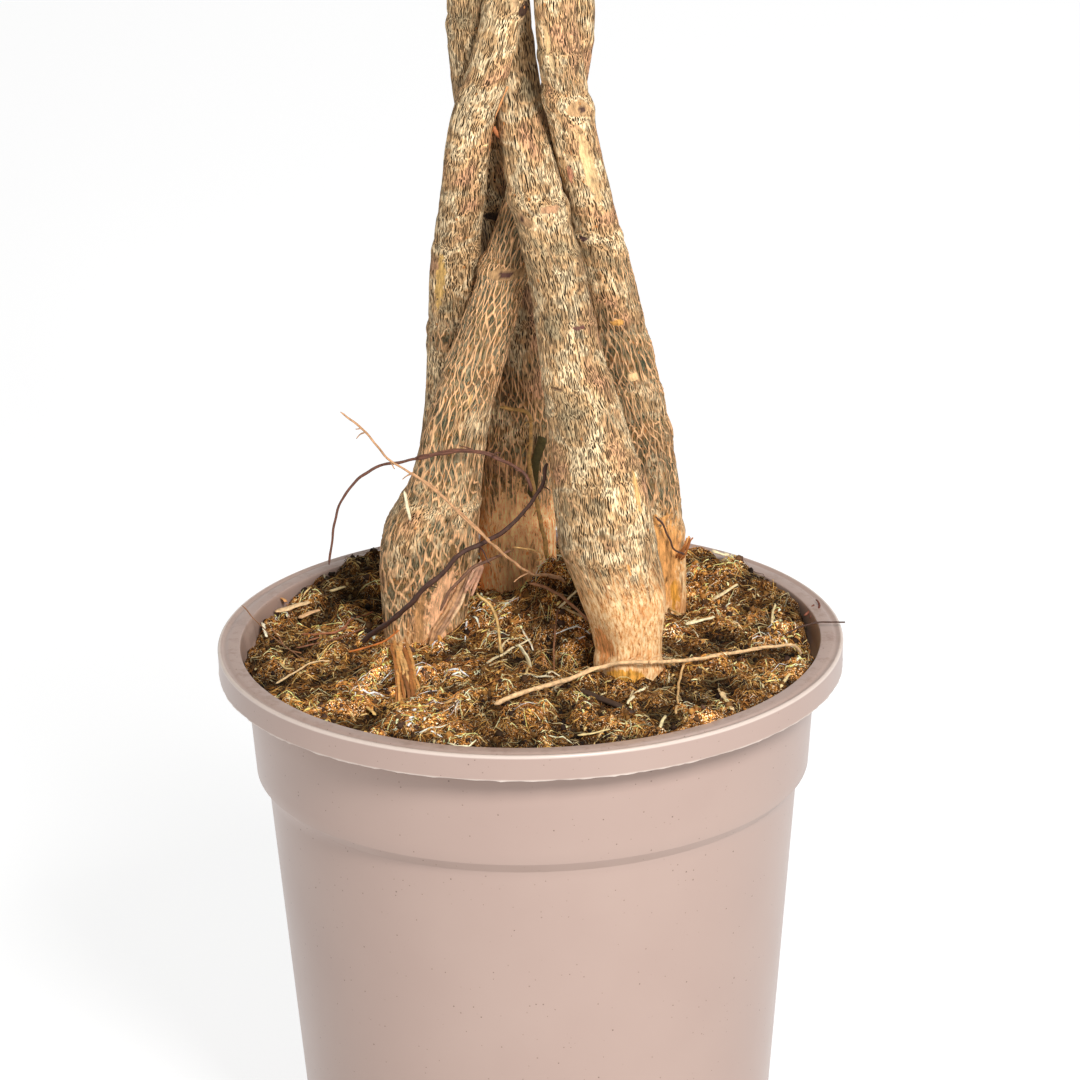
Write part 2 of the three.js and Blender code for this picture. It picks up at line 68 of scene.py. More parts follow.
def addNode(tree, kind, settings=None, links=None):
    node = tree.nodes.new(kind)
    for name, value in (settings or {}).items():
        if name == "stops":
            ramp = node.color_ramp.elements
            while len(ramp) < len(value):
                ramp.new(0.5)
            for stop, (place, colour) in zip(ramp, value):
                stop.position = place
                stop.color = linear(colour)
        elif isinstance(name, str) and hasattr(node, name):
            setattr(node, name, value)
        else:
            node.inputs[name].default_value = value
    for name, source in (links or {}).items():
        tree.links.new(socketOf(source), node.inputs[name])
    return node


def newMaterial(name, settings):
    # settings are the constants of the material's shader
    material = bpy.data.materials.new(name)
    material.use_nodes = True
    tree = material.node_tree
    tree.nodes.clear()
    shader = addNode(tree, "ShaderNodeBsdfPrincipled", settings)
    addNode(tree, "ShaderNodeOutputMaterial", None, {"Surface": shader})
    return material, tree, shader


def joinUp(tree, shader, colour, height, strength, depth):
    # the finished colour and a relief of the given depth in millimetres go to the shader
    tree.links.new(colour, shader.inputs["Base Color"])
    bump = addNode(tree, "ShaderNodeBump", {"Strength": strength, "Distance": depth * mm},
                   {"Height": height})
    tree.links.new(bump.outputs[0], shader.inputs["Normal"])


def trait(tree, name, kind="value"):
    # a number or vector stored on the mesh, read in a material or in a geometry tree
    if tree.type == "GEOMETRY":
        dataType = "FLOAT_VECTOR" if kind == "vector" else "FLOAT"
        return addNode(tree, "GeometryNodeInputNamedAttribute",
                       {"data_type": dataType, "Name": name}).outputs[0]
    node = addNode(tree, "ShaderNodeAttribute", {"attribute_name": name})
    return node.outputs[{"colour": 0, "vector": 1, "value": 2}[kind]]


def objectMm(tree):
    place = addNode(tree, "ShaderNodeTexCoord").outputs["Object"]
    return addNode(tree, "ShaderNodeVectorMath", {"operation": "SCALE", "Scale": 1000.0}, {0: place})


# Helpers for meshes
def noiseAt(points, size, seed):
    shift = Vector((17.3 * seed, 5.1 * seed, 9.7 * seed))
    return np.array([noise.noise(Vector(p) / size + shift) for p in np.asarray(points).tolist()])


def makePiece(name, points, faces, material, nodes=(), traits=None):
    mesh = bpy.data.meshes.new(name)
    mesh.from_pydata((np.asarray(points) * mm).tolist(), [], faces)
    for key, values in (traits or {}).items():
        values = np.asarray(values, dtype=np.float32)
        kind = {1: "FLOAT", 3: "FLOAT_VECTOR", 4: "FLOAT_COLOR"}[1 if values.ndim == 1 else values.shape[1]]
        field = {"FLOAT": "value", "FLOAT_VECTOR": "vector", "FLOAT_COLOR": "color"}[kind]
        mesh.attributes.new(key, kind, "POINT").data.foreach_set(field, values.ravel())
    mesh.shade_smooth()
    mesh.materials.append(material)
    piece = bpy.data.objects.new(name, mesh)
    bpy.context.scene.collection.objects.link(piece)
    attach(piece, "root")
    if nodes:
        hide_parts(*nodes)
    return piece


def fullCircle(count):
    return 2 * math.pi * np.arange(count) / count


def ringFaces(rings, sides):
    # quads between rings that run anticlockwise seen from the far end, and a cap at each end
    i = np.arange(rings - 1)[:, None] * sides
    k = np.arange(sides)[None, :]
    after = (k + 1) % sides
    quads = np.stack([i + k, i + after, i + after + sides, i + k + sides], axis=-1)
    faces = quads.reshape(-1, 4).tolist()
    last = (rings - 1) * sides
    faces.append([sides - 1 - k for k in range(sides)])
    faces.append([last + k for k in range(sides)])
    return faces


def tube(path, radii, sides, squeeze=1.0):
    # a round tube along a path; squeeze under 1 flattens it
    path = np.asarray(path, dtype=float)
    along = np.gradient(path, axis=0)
    along /= np.linalg.norm(along, axis=1)[:, None]
    side = np.cross(along[0], [0.31, 0.17, 0.93])
    angles = fullCircle(sides)
    rings = []
    for place, forward, radius in zip(path, along, radii):
        side = side - forward * side.dot(forward)
        side /= np.linalg.norm(side)
        other = np.cross(forward, side)
        ring = np.cos(angles)[:, None] * side + squeeze * np.sin(angles)[:, None] * other
        rings.append(place + radius * ring)
    return np.concatenate(rings), ringFaces(len(path), sides)


def smoothPath(points, steps):
    # a Catmull-Rom curve through the points, with the given number of evenly spaced steps
    points = np.asarray(points, dtype=float)
    padded = np.vstack([2 * points[0] - points[1], points, 2 * points[-1] - points[-2]])
    dense = []
    for a, b, c, d in zip(padded, padded[1:], padded[2:], padded[3:]):
        for t in np.linspace(0, 1, 12, endpoint=False):
            dense.append(0.5 * (2 * b + (c - a) * t + (2 * a - 5 * b + 4 * c - d) * t**2
                                + (3 * b - a - 3 * c + d) * t**3))
    dense.append(points[-1])
    dense = np.array(dense)
    run = np.concatenate([[0], np.cumsum(np.linalg.norm(np.diff(dense, axis=0), axis=1))])
    stations = np.linspace(0, run[-1], steps + 1)
    return np.stack([np.interp(stations, run, dense[:, k]) for k in range(3)], axis=1)


def newBundle(*traitNames):
    return {"points": [], "faces": [], "count": 0, "traits": {name: [] for name in traitNames}}


def addTo(bundle, points, faces, **traits):
    start = bundle["count"]
    bundle["points"].append(points)
    bundle["faces"].extend([[corner + start for corner in face] for face in faces])
    bundle["count"] += len(points)
    for name, value in traits.items():
        value = np.asarray(value, dtype=float)
        if value.ndim == 0 or len(value) != len(points):
            value = np.broadcast_to(value, (len(points), *value.shape))
        bundle["traits"][name].append(value)


def bundlePiece(name, bundle, material, nodes=()):
    traits = {key: np.concatenate(values) for key, values in bundle["traits"].items()}
    return makePiece(name, np.concatenate(bundle["points"]), bundle["faces"], material, nodes,
                     traits)


def applyModifier(piece, kind, settings):
    modifier = piece.modifiers.new("shape", kind)
    for name, value in settings.items():
        setattr(modifier, name, value)
    bpy.context.view_layer.update()
    evaluated = piece.evaluated_get(bpy.context.evaluated_depsgraph_get())
    shaped = bpy.data.meshes.new_from_object(evaluated, preserve_all_data_layers=True,
                                             depsgraph=bpy.context.evaluated_depsgraph_get())
    piece.modifiers.clear()
    old = piece.data
    piece.data = shaped
    bpy.data.meshes.remove(old)


# Camera, floor and light
view = {
    "distance": 3000, "elevation": 21.25, "pitch": 20.53, "yaw": 0.09, "roll": -1.02, "lens": 260.7,
}


def makeCamera():
    elevation, pitch, yaw, roll = (math.radians(view[k]) for k in ("elevation", "pitch", "yaw", "roll"))
    forward = Vector((math.sin(yaw) * math.cos(pitch), math.cos(yaw) * math.cos(pitch), -math.sin(pitch)))
    level = Vector((math.cos(yaw), -math.sin(yaw), 0))
    above = level.cross(forward)
    right = level * math.cos(roll) + above * math.sin(roll)
    up = above * math.cos(roll) - level * math.sin(roll)
    away = Vector((0, -math.cos(elevation), math.sin(elevation)))
    place = away * view["distance"] + Vector((0, 0, potHeight))
    data = bpy.data.cameras.new("camera")
    data.lens = view["lens"]
    data.clip_start = 0.1
    data.clip_end = 100
    camera = bpy.data.objects.new("camera", data)
    axes = Matrix((right, up, -forward)).transposed().to_4x4()
    camera.matrix_world = Matrix.Translation(place * mm) @ axes
    bpy.context.scene.collection.objects.link(camera)
    bpy.context.scene.camera = camera


studio = {
    "floorHalf": 20000, "floorColour": "#949494", "floorGlow": 0.77,
    # the dome's strength low and high up, and the heights that it changes between
    "domeLow": 1.0, "domeHigh": 0.34, "domeFrom": 0.12, "domeTo": 0.45,
    # lamps point at this height; name: turn from the camera's side, height angle, distance, width, watts
    "aimHeight": 300, "lamps": {"key": (22, 36, 2600, 700, 78), "top": (150, 60, 3000, 1400, 10)},
}


def makeStudio():
    half = studio["floorHalf"]
    mesh = bpy.data.meshes.new("floor")
    mesh.from_pydata([(x * half * mm, y * half * mm, 0) for x, y in ((-1, -1), (1, -1), (1, 1), (-1, 1))],
                     [], [(0, 1, 2, 3)])
    floor = bpy.data.objects.new("floor", mesh)
    bpy.context.scene.collection.objects.link(floor)
    # painted white studio floor: a little glow of its own keeps it as white as a lit sweep
    paint = newMaterial("studioPaint", {
        "Base Color": linear(studio["floorColour"]), "Roughness": 0.8,
        "Emission Color": linear("#ffffff"), "Emission Strength": studio["floorGlow"]})[0]
    mesh.materials.append(paint)
    floor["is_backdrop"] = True
    world = bpy.data.worlds.new("studio")
    world.use_nodes = True
    # the dome is white round the horizon and dimmer overhead
    place = addNode(world.node_tree, "ShaderNodeTexCoord").outputs["Generated"]
    upward = addNode(world.node_tree, "ShaderNodeSeparateXYZ", None, {0: place}).outputs[2]
    strength = addNode(world.node_tree, "ShaderNodeMapRange",
                       {1: studio["domeFrom"], 2: studio["domeTo"], 3: studio["domeLow"],
                        4: studio["domeHigh"]}, {0: upward})
    background = world.node_tree.nodes["Background"]
    background.inputs["Color"].default_value = linear("#ffffff")
    world.node_tree.links.new(strength.outputs[0], background.inputs["Strength"])
    bpy.context.scene.world = world
    target = Vector((0, 0, studio["aimHeight"])) * mm
    for name, (turn, height, distance, width, power) in studio["lamps"].items():
        data = bpy.data.lights.new(name, "AREA")
        data.size = width * mm
        data.energy = power
        lamp = bpy.data.objects.new(name, data)
        turn, height = math.radians(turn), math.radians(height)
        toLamp = Vector((math.sin(turn) * math.cos(height), -math.cos(turn) * math.cos(height),
                         math.sin(height)))
        lamp.location = target + toLamp * distance * mm
        lamp.rotation_euler = toLamp.to_track_quat("Z", "Y").to_euler()
        lamp.visible_camera = False
        bpy.context.scene.collection.objects.link(lamp)
    bpy.context.scene.view_settings.view_transform = "Standard"


makeCamera()
makeStudio()
print("camera and studio set")

# Pot: injection-moulded polypropylene, satin, with a lip, a collar and a tapering body
pot = {
    "rimRadius": 120.0, "rimWidth": 8.8, "lipDrop": 10.0, "lipThickness": 2.4, "collarTop": 109.1,
    "collarFoot": 106.2, "collarDrop": 49.5, "flareDrop": 14.0, "flare": 113.2, "chamfer": 4.6,
    "bodyTop": 101.9, "taper": 0.09, "wall": 2.2, "base": 3.0, "corner": 0.18, "segments": 320,
    "flashOut": 0.35, "flashDown": 0.45, "drainHoles": 6, "drainRadius": 6.0, "drainCircle": 52.0,
    "lugAngles": (169, 49, 289), "lugHalfWidth": 6.5, "lugDepth": 0.9, "lugDrop": 16.0,
    "lugRadius": 110,
    "innerRows": (218.5, 217, 215, 213.5, 212, 210, 208, 206, 202, 196, 184, 171, 165.5, 120, 60, 6),
    # the flash colour also paints a highlight along the shoulder, and the dirt colour also paints shade
    # under the lip and on the chamfer
    "colour": "#ab9489", "shade": "#a28a80", "flashAndHighlightColour": "#f3e6da", "speckColour": "#5a4438",
    "dustAndShadeColour": "#6b4c36",
}
bodyTopDrop = pot["collarDrop"] + pot["chamfer"]
bodyFoot = pot["bodyTop"] - pot["taper"] * (potHeight - bodyTopDrop)


def innerRadius(z):
    collarFoot = potHeight - pot["collarDrop"]
    bodyTop = potHeight - bodyTopDrop
    flareFoot = potHeight - pot["flareDrop"]
    stations = [0, bodyTop, collarFoot, flareFoot, flareFoot + 6, potHeight]
    rimInside = pot["rimRadius"] - pot["rimWidth"] + pot["wall"]
    outer = [bodyFoot, pot["bodyTop"], pot["collarFoot"], pot["collarTop"], rimInside - 1.2, rimInside]
    return np.interp(z, stations, outer) - pot["wall"]


def arc(centreR, centreZ, radius, start, end, steps):
    angles = np.radians(np.linspace(start, end, steps))
    return [(centreR + radius * math.cos(a), centreZ + radius * math.sin(a)) for a in angles]


def potProfile():
    # (radius, height, part) from the middle of the underside round to the middle of the inside
    top = potHeight
    rim = pot["rimRadius"]
    lipFoot = top - pot["lipDrop"]
    lipInner = rim - pot["lipThickness"]
    collarFoot = top - pot["collarDrop"]
    bodyTop = top - bodyTopDrop
    slope = (pot["collarTop"] - pot["collarFoot"]) / (pot["collarDrop"] - pot["flareDrop"])
    parts = {
        "outside": [
            (60, 1.2), (62, 0), (bodyFoot - 4, 0), *arc(bodyFoot - 2.4, 2.6, 2.6, -90, -5, 6),
            *[(bodyFoot + pot["taper"] * z, z) for z in np.linspace(8, bodyTop - 4, 12)],
            (pot["bodyTop"], bodyTop), (pot["collarFoot"], collarFoot),
            *[(pot["collarFoot"] + slope * z, collarFoot + z) for z in (5, 15, 25, 31, 34.5)],
            # hidden by the lip the wall flares out to carry the rim
            (pot["collarTop"] + 0.4, top - 13), (pot["collarTop"] + 1.8, top - 9.5),
            (pot["flare"] - 0.8, top - 7),
        ],
        "lip": [(pot["flare"], top - 3.4), (pot["flare"] + 0.8, top - 2.4), (lipInner - 1, top - 2.4),
                (lipInner - 0.1, top - 3.4), (lipInner - 0.3, lipFoot + 0.2)],
        "flash": [(rim - 1.0, lipFoot), (rim - 0.4, lipFoot + 0.1)],
        "face": [(rim - 0.36, lipFoot + 0.5), (rim - 0.34, lipFoot + 1.0), (rim - 0.25, top - 5),
                 (rim - 0.1, top - 1.4)],
        "shoulder": arc(rim - 1.05, top - 1.0, 1.0, 5, 80, 7),
        # a shallow groove runs just inside the outer edge
        "rimTop": [(rim - 1.4, top - 0.05), (rim - 2.2, top - 0.6), (rim - 3.0, top - 0.65),
                   (rim - 3.9, top - 0.1), (rim - 5.5, top),
                   *arc(rim - pot["rimWidth"] + 0.6, top - 0.6, 0.6, 90, 175, 5)],
        "inner": [*[(float(innerRadius(z)), z) for z in pot["innerRows"]],
                  (float(innerRadius(3)) - 3, pot["base"]), (60, pot["base"])],
    }
    rows = [(*spot, part) for part, spots in parts.items() for spot in spots]
    crisp = []
    for (r0, z0, _), (r1, z1, part), (r2, z2, _) in zip([rows[0], *rows[:-1]], rows, [*rows[1:], rows[-1]]):
        before, after = math.hypot(r1 - r0, z1 - z0), math.hypot(r2 - r1, z2 - z1)
        turned = abs(math.atan2(z2 - z1, r2 - r1) - math.atan2(z1 - z0, r1 - r0))
        if min(before, after) > 0.8 and 0.2 < min(turned, 2 * math.pi - turned):
            # two more rows beside a corner keep it sharp under smooth shading
            share = pot["corner"] / before
            crisp.append((r1 + (r0 - r1) * share, z1 + (z0 - z1) * share, part))
            share = pot["corner"] / after
            crisp.append((r1 + (r2 - r1) * share, z1 + (z2 - z1) * share, part))
        else:
            crisp.append((r1, z1, part))
    return crisp


def makePotMaterial():
    # moulded polypropylene: an even satin skin with a soft highlight, fine mould specks, a little dust,
    # painted shade under the lip and on the chamfer, and a painted highlight along the shoulder
    material, tree, shader = newMaterial("mouldedPolypropylene", {"IOR": 1.49})
    place = objectMm(tree)
    cloud = addNode(tree, "ShaderNodeTexNoise", {"Scale": 1 / 45, "Detail": 3.0}, {"Vector": place})
    base = addNode(tree, "ShaderNodeMix",
                   {"data_type": "RGBA", 6: linear(pot["colour"]), 7: linear(pot["shade"])}, {0: cloud})
    # mould specks are 0.3 mm across on the real skin, drawn at 0.5 mm so that they show
    speckNet = addNode(tree, "ShaderNodeTexVoronoi", {"Scale": 1 / 2.6}, {"Vector": place})
    pick = addNode(tree, "ShaderNodeSeparateColor", None, {0: speckNet.outputs[1]})
    size = addNode(tree, "ShaderNodeMath", {"operation": "MULTIPLY", 1: 0.13}, {0: pick.outputs[0]})
    speck = addNode(tree, "ShaderNodeMath", {"operation": "LESS_THAN"}, {0: speckNet.outputs[0], 1: size})
    speckMask = addNode(tree, "ShaderNodeMath", {"operation": "MULTIPLY"}, {0: speck, 1: pick.outputs[1]})
    softened = addNode(tree, "ShaderNodeMath", {"operation": "MULTIPLY", 1: 0.9}, {0: speckMask})
    # peat dust lies on the rim and clings to the wall above the soil
    height = addNode(tree, "ShaderNodeSeparateXYZ", None, {0: place}).outputs[2]
    nearRim = addNode(tree, "ShaderNodeMapRange", {1: potHeight - 1.0, 2: potHeight + 0.1, 3: 0.0, 4: 1.0},
                      {0: height})
    dustCloud = addNode(tree, "ShaderNodeTexNoise", {"Scale": 1 / 7, "Detail": 6.0, "Roughness": 0.7},
                        {"Vector": place})
    dustSpread = addNode(tree, "ShaderNodeMapRange", {1: 0.5, 2: 0.75, 3: 0.0, 4: 0.5}, {0: dustCloud})
    wallDust = addNode(tree, "ShaderNodeMath", {"operation": "MULTIPLY"}, {0: nearRim, 1: dustSpread})
    # the inner trait also paints shade under the lip and on the chamfer outside, so this mix carries painted
    # shade there as well as dust
    deeper = addNode(tree, "ShaderNodeMapRange", {1: potHeight - 1, 2: potHeight - 10, 3: 0.3, 4: 0.8},
                     {0: height})
    innerDustAndShade = addNode(tree, "ShaderNodeMath", {"operation": "MULTIPLY"},
                        {0: trait(tree, "inner"), 1: deeper})
    dustAndShade = addNode(tree, "ShaderNodeMath", {"operation": "MAXIMUM"}, {0: wallDust, 1: innerDustAndShade})
    # the dirt colour also paints that shade, and the flash colour also paints a highlight along the shoulder
    skin = base
    for mask, over in ((softened, "speckColour"), (dustAndShade, "dustAndShadeColour"),
                       (trait(tree, "flash"), "flashAndHighlightColour")):
        skin = addNode(tree, "ShaderNodeMix", {"data_type": "RGBA", 7: linear(pot[over])},
                       {0: mask, 6: skin.outputs[2]})
    # handling leaves the gloss a little uneven, and dust dulls the inner wall
    scuff = addNode(tree, "ShaderNodeTexNoise", {"Scale": 1 / 30, "Detail": 3.0}, {"Vector": place})
    gloss = addNode(tree, "ShaderNodeMapRange", {1: 0.3, 2: 0.7, 3: 0.285, 4: 0.33}, {0: scuff})
    dulled = addNode(tree, "ShaderNodeMath", {"operation": "MULTIPLY_ADD", 1: 0.6}, {0: dustAndShade, 2: gloss})
    tree.links.new(dulled.outputs[0], shader.inputs["Roughness"])
    grit = addNode(tree, "ShaderNodeTexNoise", {"Scale": 1.6, "Detail": 2.0}, {"Vector": place})
    joinUp(tree, shader, skin.outputs[2], grit, 0.07, 0.1)
    return material


def makePot():
    profile = potProfile()
    count = pot["segments"]
    angles = fullCircle(count)
    radii = np.repeat(np.array([row[0] for row in profile])[:, None], count, axis=1)
    heights = np.repeat(np.array([row[1] for row in profile])[:, None], count, axis=1)
    flash = np.zeros(radii.shape)
    inner = np.zeros(radii.shape)
    # thin ragged flash left by the mould under the lip
    ring = pot["rimRadius"] * np.stack([np.cos(angles), np.sin(angles), 0 * angles], axis=1)
    ragged = np.clip(0.45 + 0.6 * noiseAt(ring, 9, 3) + 0.6 * noiseAt(ring, 2.6, 4), 0, 1.2)
    # stacking lugs: low upright ribs inside the wall
    away = np.min([np.abs((np.degrees(angles) - lug + 180) % 360 - 180) for lug in pot["lugAngles"]], axis=0)
    rib = np.clip((pot["lugHalfWidth"] - away * math.pi / 180 * pot["lugRadius"]) / 0.8, 0, 1)
    for row, (_, height, part) in enumerate(profile):
        if part == "flash":
            radii[row] += pot["flashOut"] * ragged
            heights[row] -= pot["flashDown"] * ragged
            flash[row] = np.clip(0.3 + 0.7 * ragged, 0, 1)
        if part == "shoulder":
            flash[row] = 0.4  # painted highlight along the shoulder, in the flash colour
        if part == "outside":
            # painted shade under the lip and on the chamfer, carried by the inner trait
            chamfer = potHeight - bodyTopDrop - 0.1 < height < potHeight - pot["collarDrop"] + 0.1
            inner[row] = 0.22 if chamfer else np.interp(height, [potHeight - 20, potHeight - 10], [0, 0.5])
        if part == "inner":
            inner[row] = 1
            if potHeight - pot["lugDrop"] < height < potHeight - 1.5:
                radii[row] -= pot["lugDepth"] * rib
    points = np.stack([radii * np.cos(angles), radii * np.sin(angles), heights], axis=2).reshape(-1, 3)
    faces = ringFaces(len(profile), count)
    inner *= 0.75 + 0.4 * noiseAt(points, 14, 11).reshape(inner.shape)
    return makePiece("nurseryPot", points, faces, makePotMaterial(), ("pot",),
                     {"flash": flash.ravel(), "inner": inner.ravel()})


def cutDrainHoles(piece):
    cutters = newBundle()
    for i in range(pot["drainHoles"]):
        angle = 2 * math.pi * (i + 0.5) / pot["drainHoles"]
        centre = np.array([pot["drainCircle"] * math.cos(angle), pot["drainCircle"] * math.sin(angle), 0])
        path = [centre + [0, 0, -4], centre + [0, 0, 8]]
        points, faces = tube(path, [pot["drainRadius"]] * 2, 40)
        addTo(cutters, points, faces)
    mesh = bpy.data.meshes.new("drainCutter")
    mesh.from_pydata((np.concatenate(cutters["points"]) * mm).tolist(), [], cutters["faces"])
    cutter = bpy.data.objects.new("drainCutter", mesh)
    bpy.context.scene.collection.objects.link(cutter)
    applyModifier(piece, "BOOLEAN", {"operation": "DIFFERENCE", "solver": "EXACT", "object": cutter})
    bpy.data.objects.remove(cutter)
    bpy.data.meshes.remove(mesh)


cutDrainHoles(makePot())
print("pot made")

# Trunks: [height above the rim, x, y, radius], then the regular plait above them.
# turn is the place of the trunk in the plait at the height where the plait is counted from.
plait = {
    "start": 300, "lead": 20, "step": 26, "end": 560, "countedFrom": 262, "halfTurn": 230, "wide": 2.75,
    "deep": 1.88, "radiusLow": 7.8, "radiusHigh": 6.3,
}
trunks = {
    "left": {
        "turn": -28, "top": 532,
        "rows": [
            (-62, -40, 14, 8), (-30, -41, 13, 12), (-12, -41, 12, 15), (10, -41, 12, 16.5),
            (30, -39, 10, 18.6), (46, -37, 7, 18), (62, -32, 4, 14), (85, -27, 1, 12),
            (110, -20, 0, 11.2), (140, -10, 1, 9.8), (172, 1, 5.5, 9.2), (205, 13, 10.5, 8.8),
            (235, 19, 12, 8.4), (262, 20, 12, 8), (290, 20, 3, 7.8),
        ],
    },
    "front": {
        "turn": 116, "top": 550,
        "rows": [
            (-62, 36, -34, 7), (-30, 37, -35, 11), (-12, 37, -36, 13.5), (12, 37, -36, 12.8),
            (32, 35, -35, 16.5), (50, 30, -34, 18.2), (72, 27, -32, 17.8), (96, 23, -29, 14.6),
            (125, 17, -25, 12), (155, 12, -21, 10.7), (180, 6, -15, 10.5), (205, 1, -5, 9.2),
            (235, -2.6, 10, 8.0), (262, -5, 13, 7.8), (290, -12, 13, 7.8),
        ],
    },
    "right": {
        "turn": 44, "top": 533,
        "rows": [
            (-62, 45, 44, 8), (-30, 45, 46, 12), (-12, 45, 46, 15), (20, 45, 43, 15.5),
            (50, 45, 38, 13.2), (80, 42, 30, 12.2), (110, 37, 21, 11.2), (140, 32, 10, 10.2),
            (172, 26, -2, 9.1), (205, 20, -10, 8.6), (235, 15.2, -13, 8.1), (262, 12.8, -13, 7.6),
            (290, 10.2, -12, 7.5),
        ],
    },
    "back": {
        "turn": 188, "top": 540,
        "rows": [
            (-62, -6, 58, 7), (-30, -6, 60, 10), (-12, -4, 60, 13.8), (20, -4.2, 56, 14.6),
            (50, -4, 50, 14.6), (80, -3, 43, 13.2), (110, -3.5, 36, 11.4), (145, -7, 28, 9.8),
            (180, -12, 21, 9), (210, -16, 13, 8.6), (235, -18.5, 4, 8.3), (262, -18.5, -1, 8),
            (290, -18, -9, 7.8),
        ],
    },
    "back_left": {
        "turn": -100, "top": 525,
        "rows": [
            (-62, -40, 57, 8), (-30, -40, 58, 11), (-12, -39, 58, 14), (20, -35, 54, 14),
            (50, -31, 46, 12.4), (80, -28, 37, 11), (110, -27, 26, 10), (145, -26, 12, 9.2),
            (180, -22, -1, 8.5), (210, -18, -9, 8.3), (235, -10.4, -12, 8.0), (262, -3.6, -7.5, 7.5),
            (290, 2.4, 6, 7.5),
        ],
    },
}


def plaitRow(turn, height):
    share = (height - plait["start"]) / (plait["end"] - plait["start"])
    radius = plait["radiusLow"] + share * (plait["radiusHigh"] - plait["radiusLow"])
    angle = math.radians(turn + 180 * (height - plait["countedFrom"]) / plait["halfTurn"])
    return (height, plait["wide"] * radius * math.cos(angle), -plait["deep"] * radius * math.sin(2 * angle),
            radius)


for trunk in trunks.values():
    height = plait["start"] + plait["lead"]
    while height < trunk["top"] + plait["step"]:
        trunk["rows"].append(plaitRow(trunk["turn"], height))
        height += plait["step"]


def between(rows, station):
    # a cubic through rows of numbers whose first entry is the station
    i = 0
    while i + 2 < len(rows) and rows[i + 1][0] <= station:
        i += 1
    rows = np.asarray(rows, dtype=float)
    slopes = []
    for k in (i, i + 1):
        low, high = max(k - 1, 0), min(k + 1, len(rows) - 1)
        slopes.append((rows[high, 1:] - rows[low, 1:]) / (rows[high, 0] - rows[low, 0]))
    span = rows[i + 1, 0] - rows[i, 0]
    t = (station - rows[i, 0]) / span
    a, b = rows[i, 1:], rows[i + 1, 1:]
    return ((2 * t**3 - 3 * t**2 + 1) * a + (t**3 - 2 * t**2 + t) * slopes[0] * span
            + (3 * t**2 - 2 * t**3) * b + (t**3 - t**2) * slopes[1] * span)


bark = {
    "sides": 80, "fineStep": 1.2, "highStep": 4.5, "fineFrom": -8, "fineTo": 300, "foot": -62,
    # cells of the cork net in millimetres, across and along the trunk
    "fineCell": (0.6, 7.2), "ridgeCell": (2.6, 13.0), "threadsAround": 27, "threadRise": 13.0,
    "reliefFine": 0.36, "reliefWide": 0.6, "lump": 0.4, "lumpSize": 24, "flute": 0.045,
    "cordTan": "#cda373", "cordGrey": "#ad9672", "cordPink": "#cf9b73", "cordPale": "#f0d4a8",
    "thread": "#dcab7c", "slitDark": "#1e140a", "slitBrown": "#3a2813", "slitTan": "#6a5030",
    "gapGreen": "#2b3628", "gapOlive": "#3d3819", "gapTan": "#6b4f2f", "rootPale": "#fbd9a6",
    "rootTan": "#e6ae72", "rootOrange": "#cb8142", "rootBrown": "#7e4825", "rootGrey": "#bda793",
    "lenticel": "#cc8548",
    # height that the flutes of the foot run out at, and spacing of the old leaf scars
    "footTop": 45, "scarSpacing": 64, "worn": 0.7, "rootFade": 14, "cloud": 0.26, "cloudSize": 26,
    # tilt of the rings in millimetres, and the groove above each: depth, place and width as shares
    "ringTilt": 1.6, "ringGroove": (0.45, 1.5, 0.35), "unmarked": "#c9a780",
    # noises drawn out along the trunk: waves per millimetre across and along, detail, roughness
    "noises": {
        "streak": (1.9, 0.11, 3.0, 0.5), "fleck": (1.1, 0.5, 3.0, 0.65), "paper": (1.15, 0.24, 5.0, 0.72),
        "fray": (0.42, 0.07, 5.0, 0.65), "edge": (0.6, 0.3, 4.0, 0.6),
    },
}
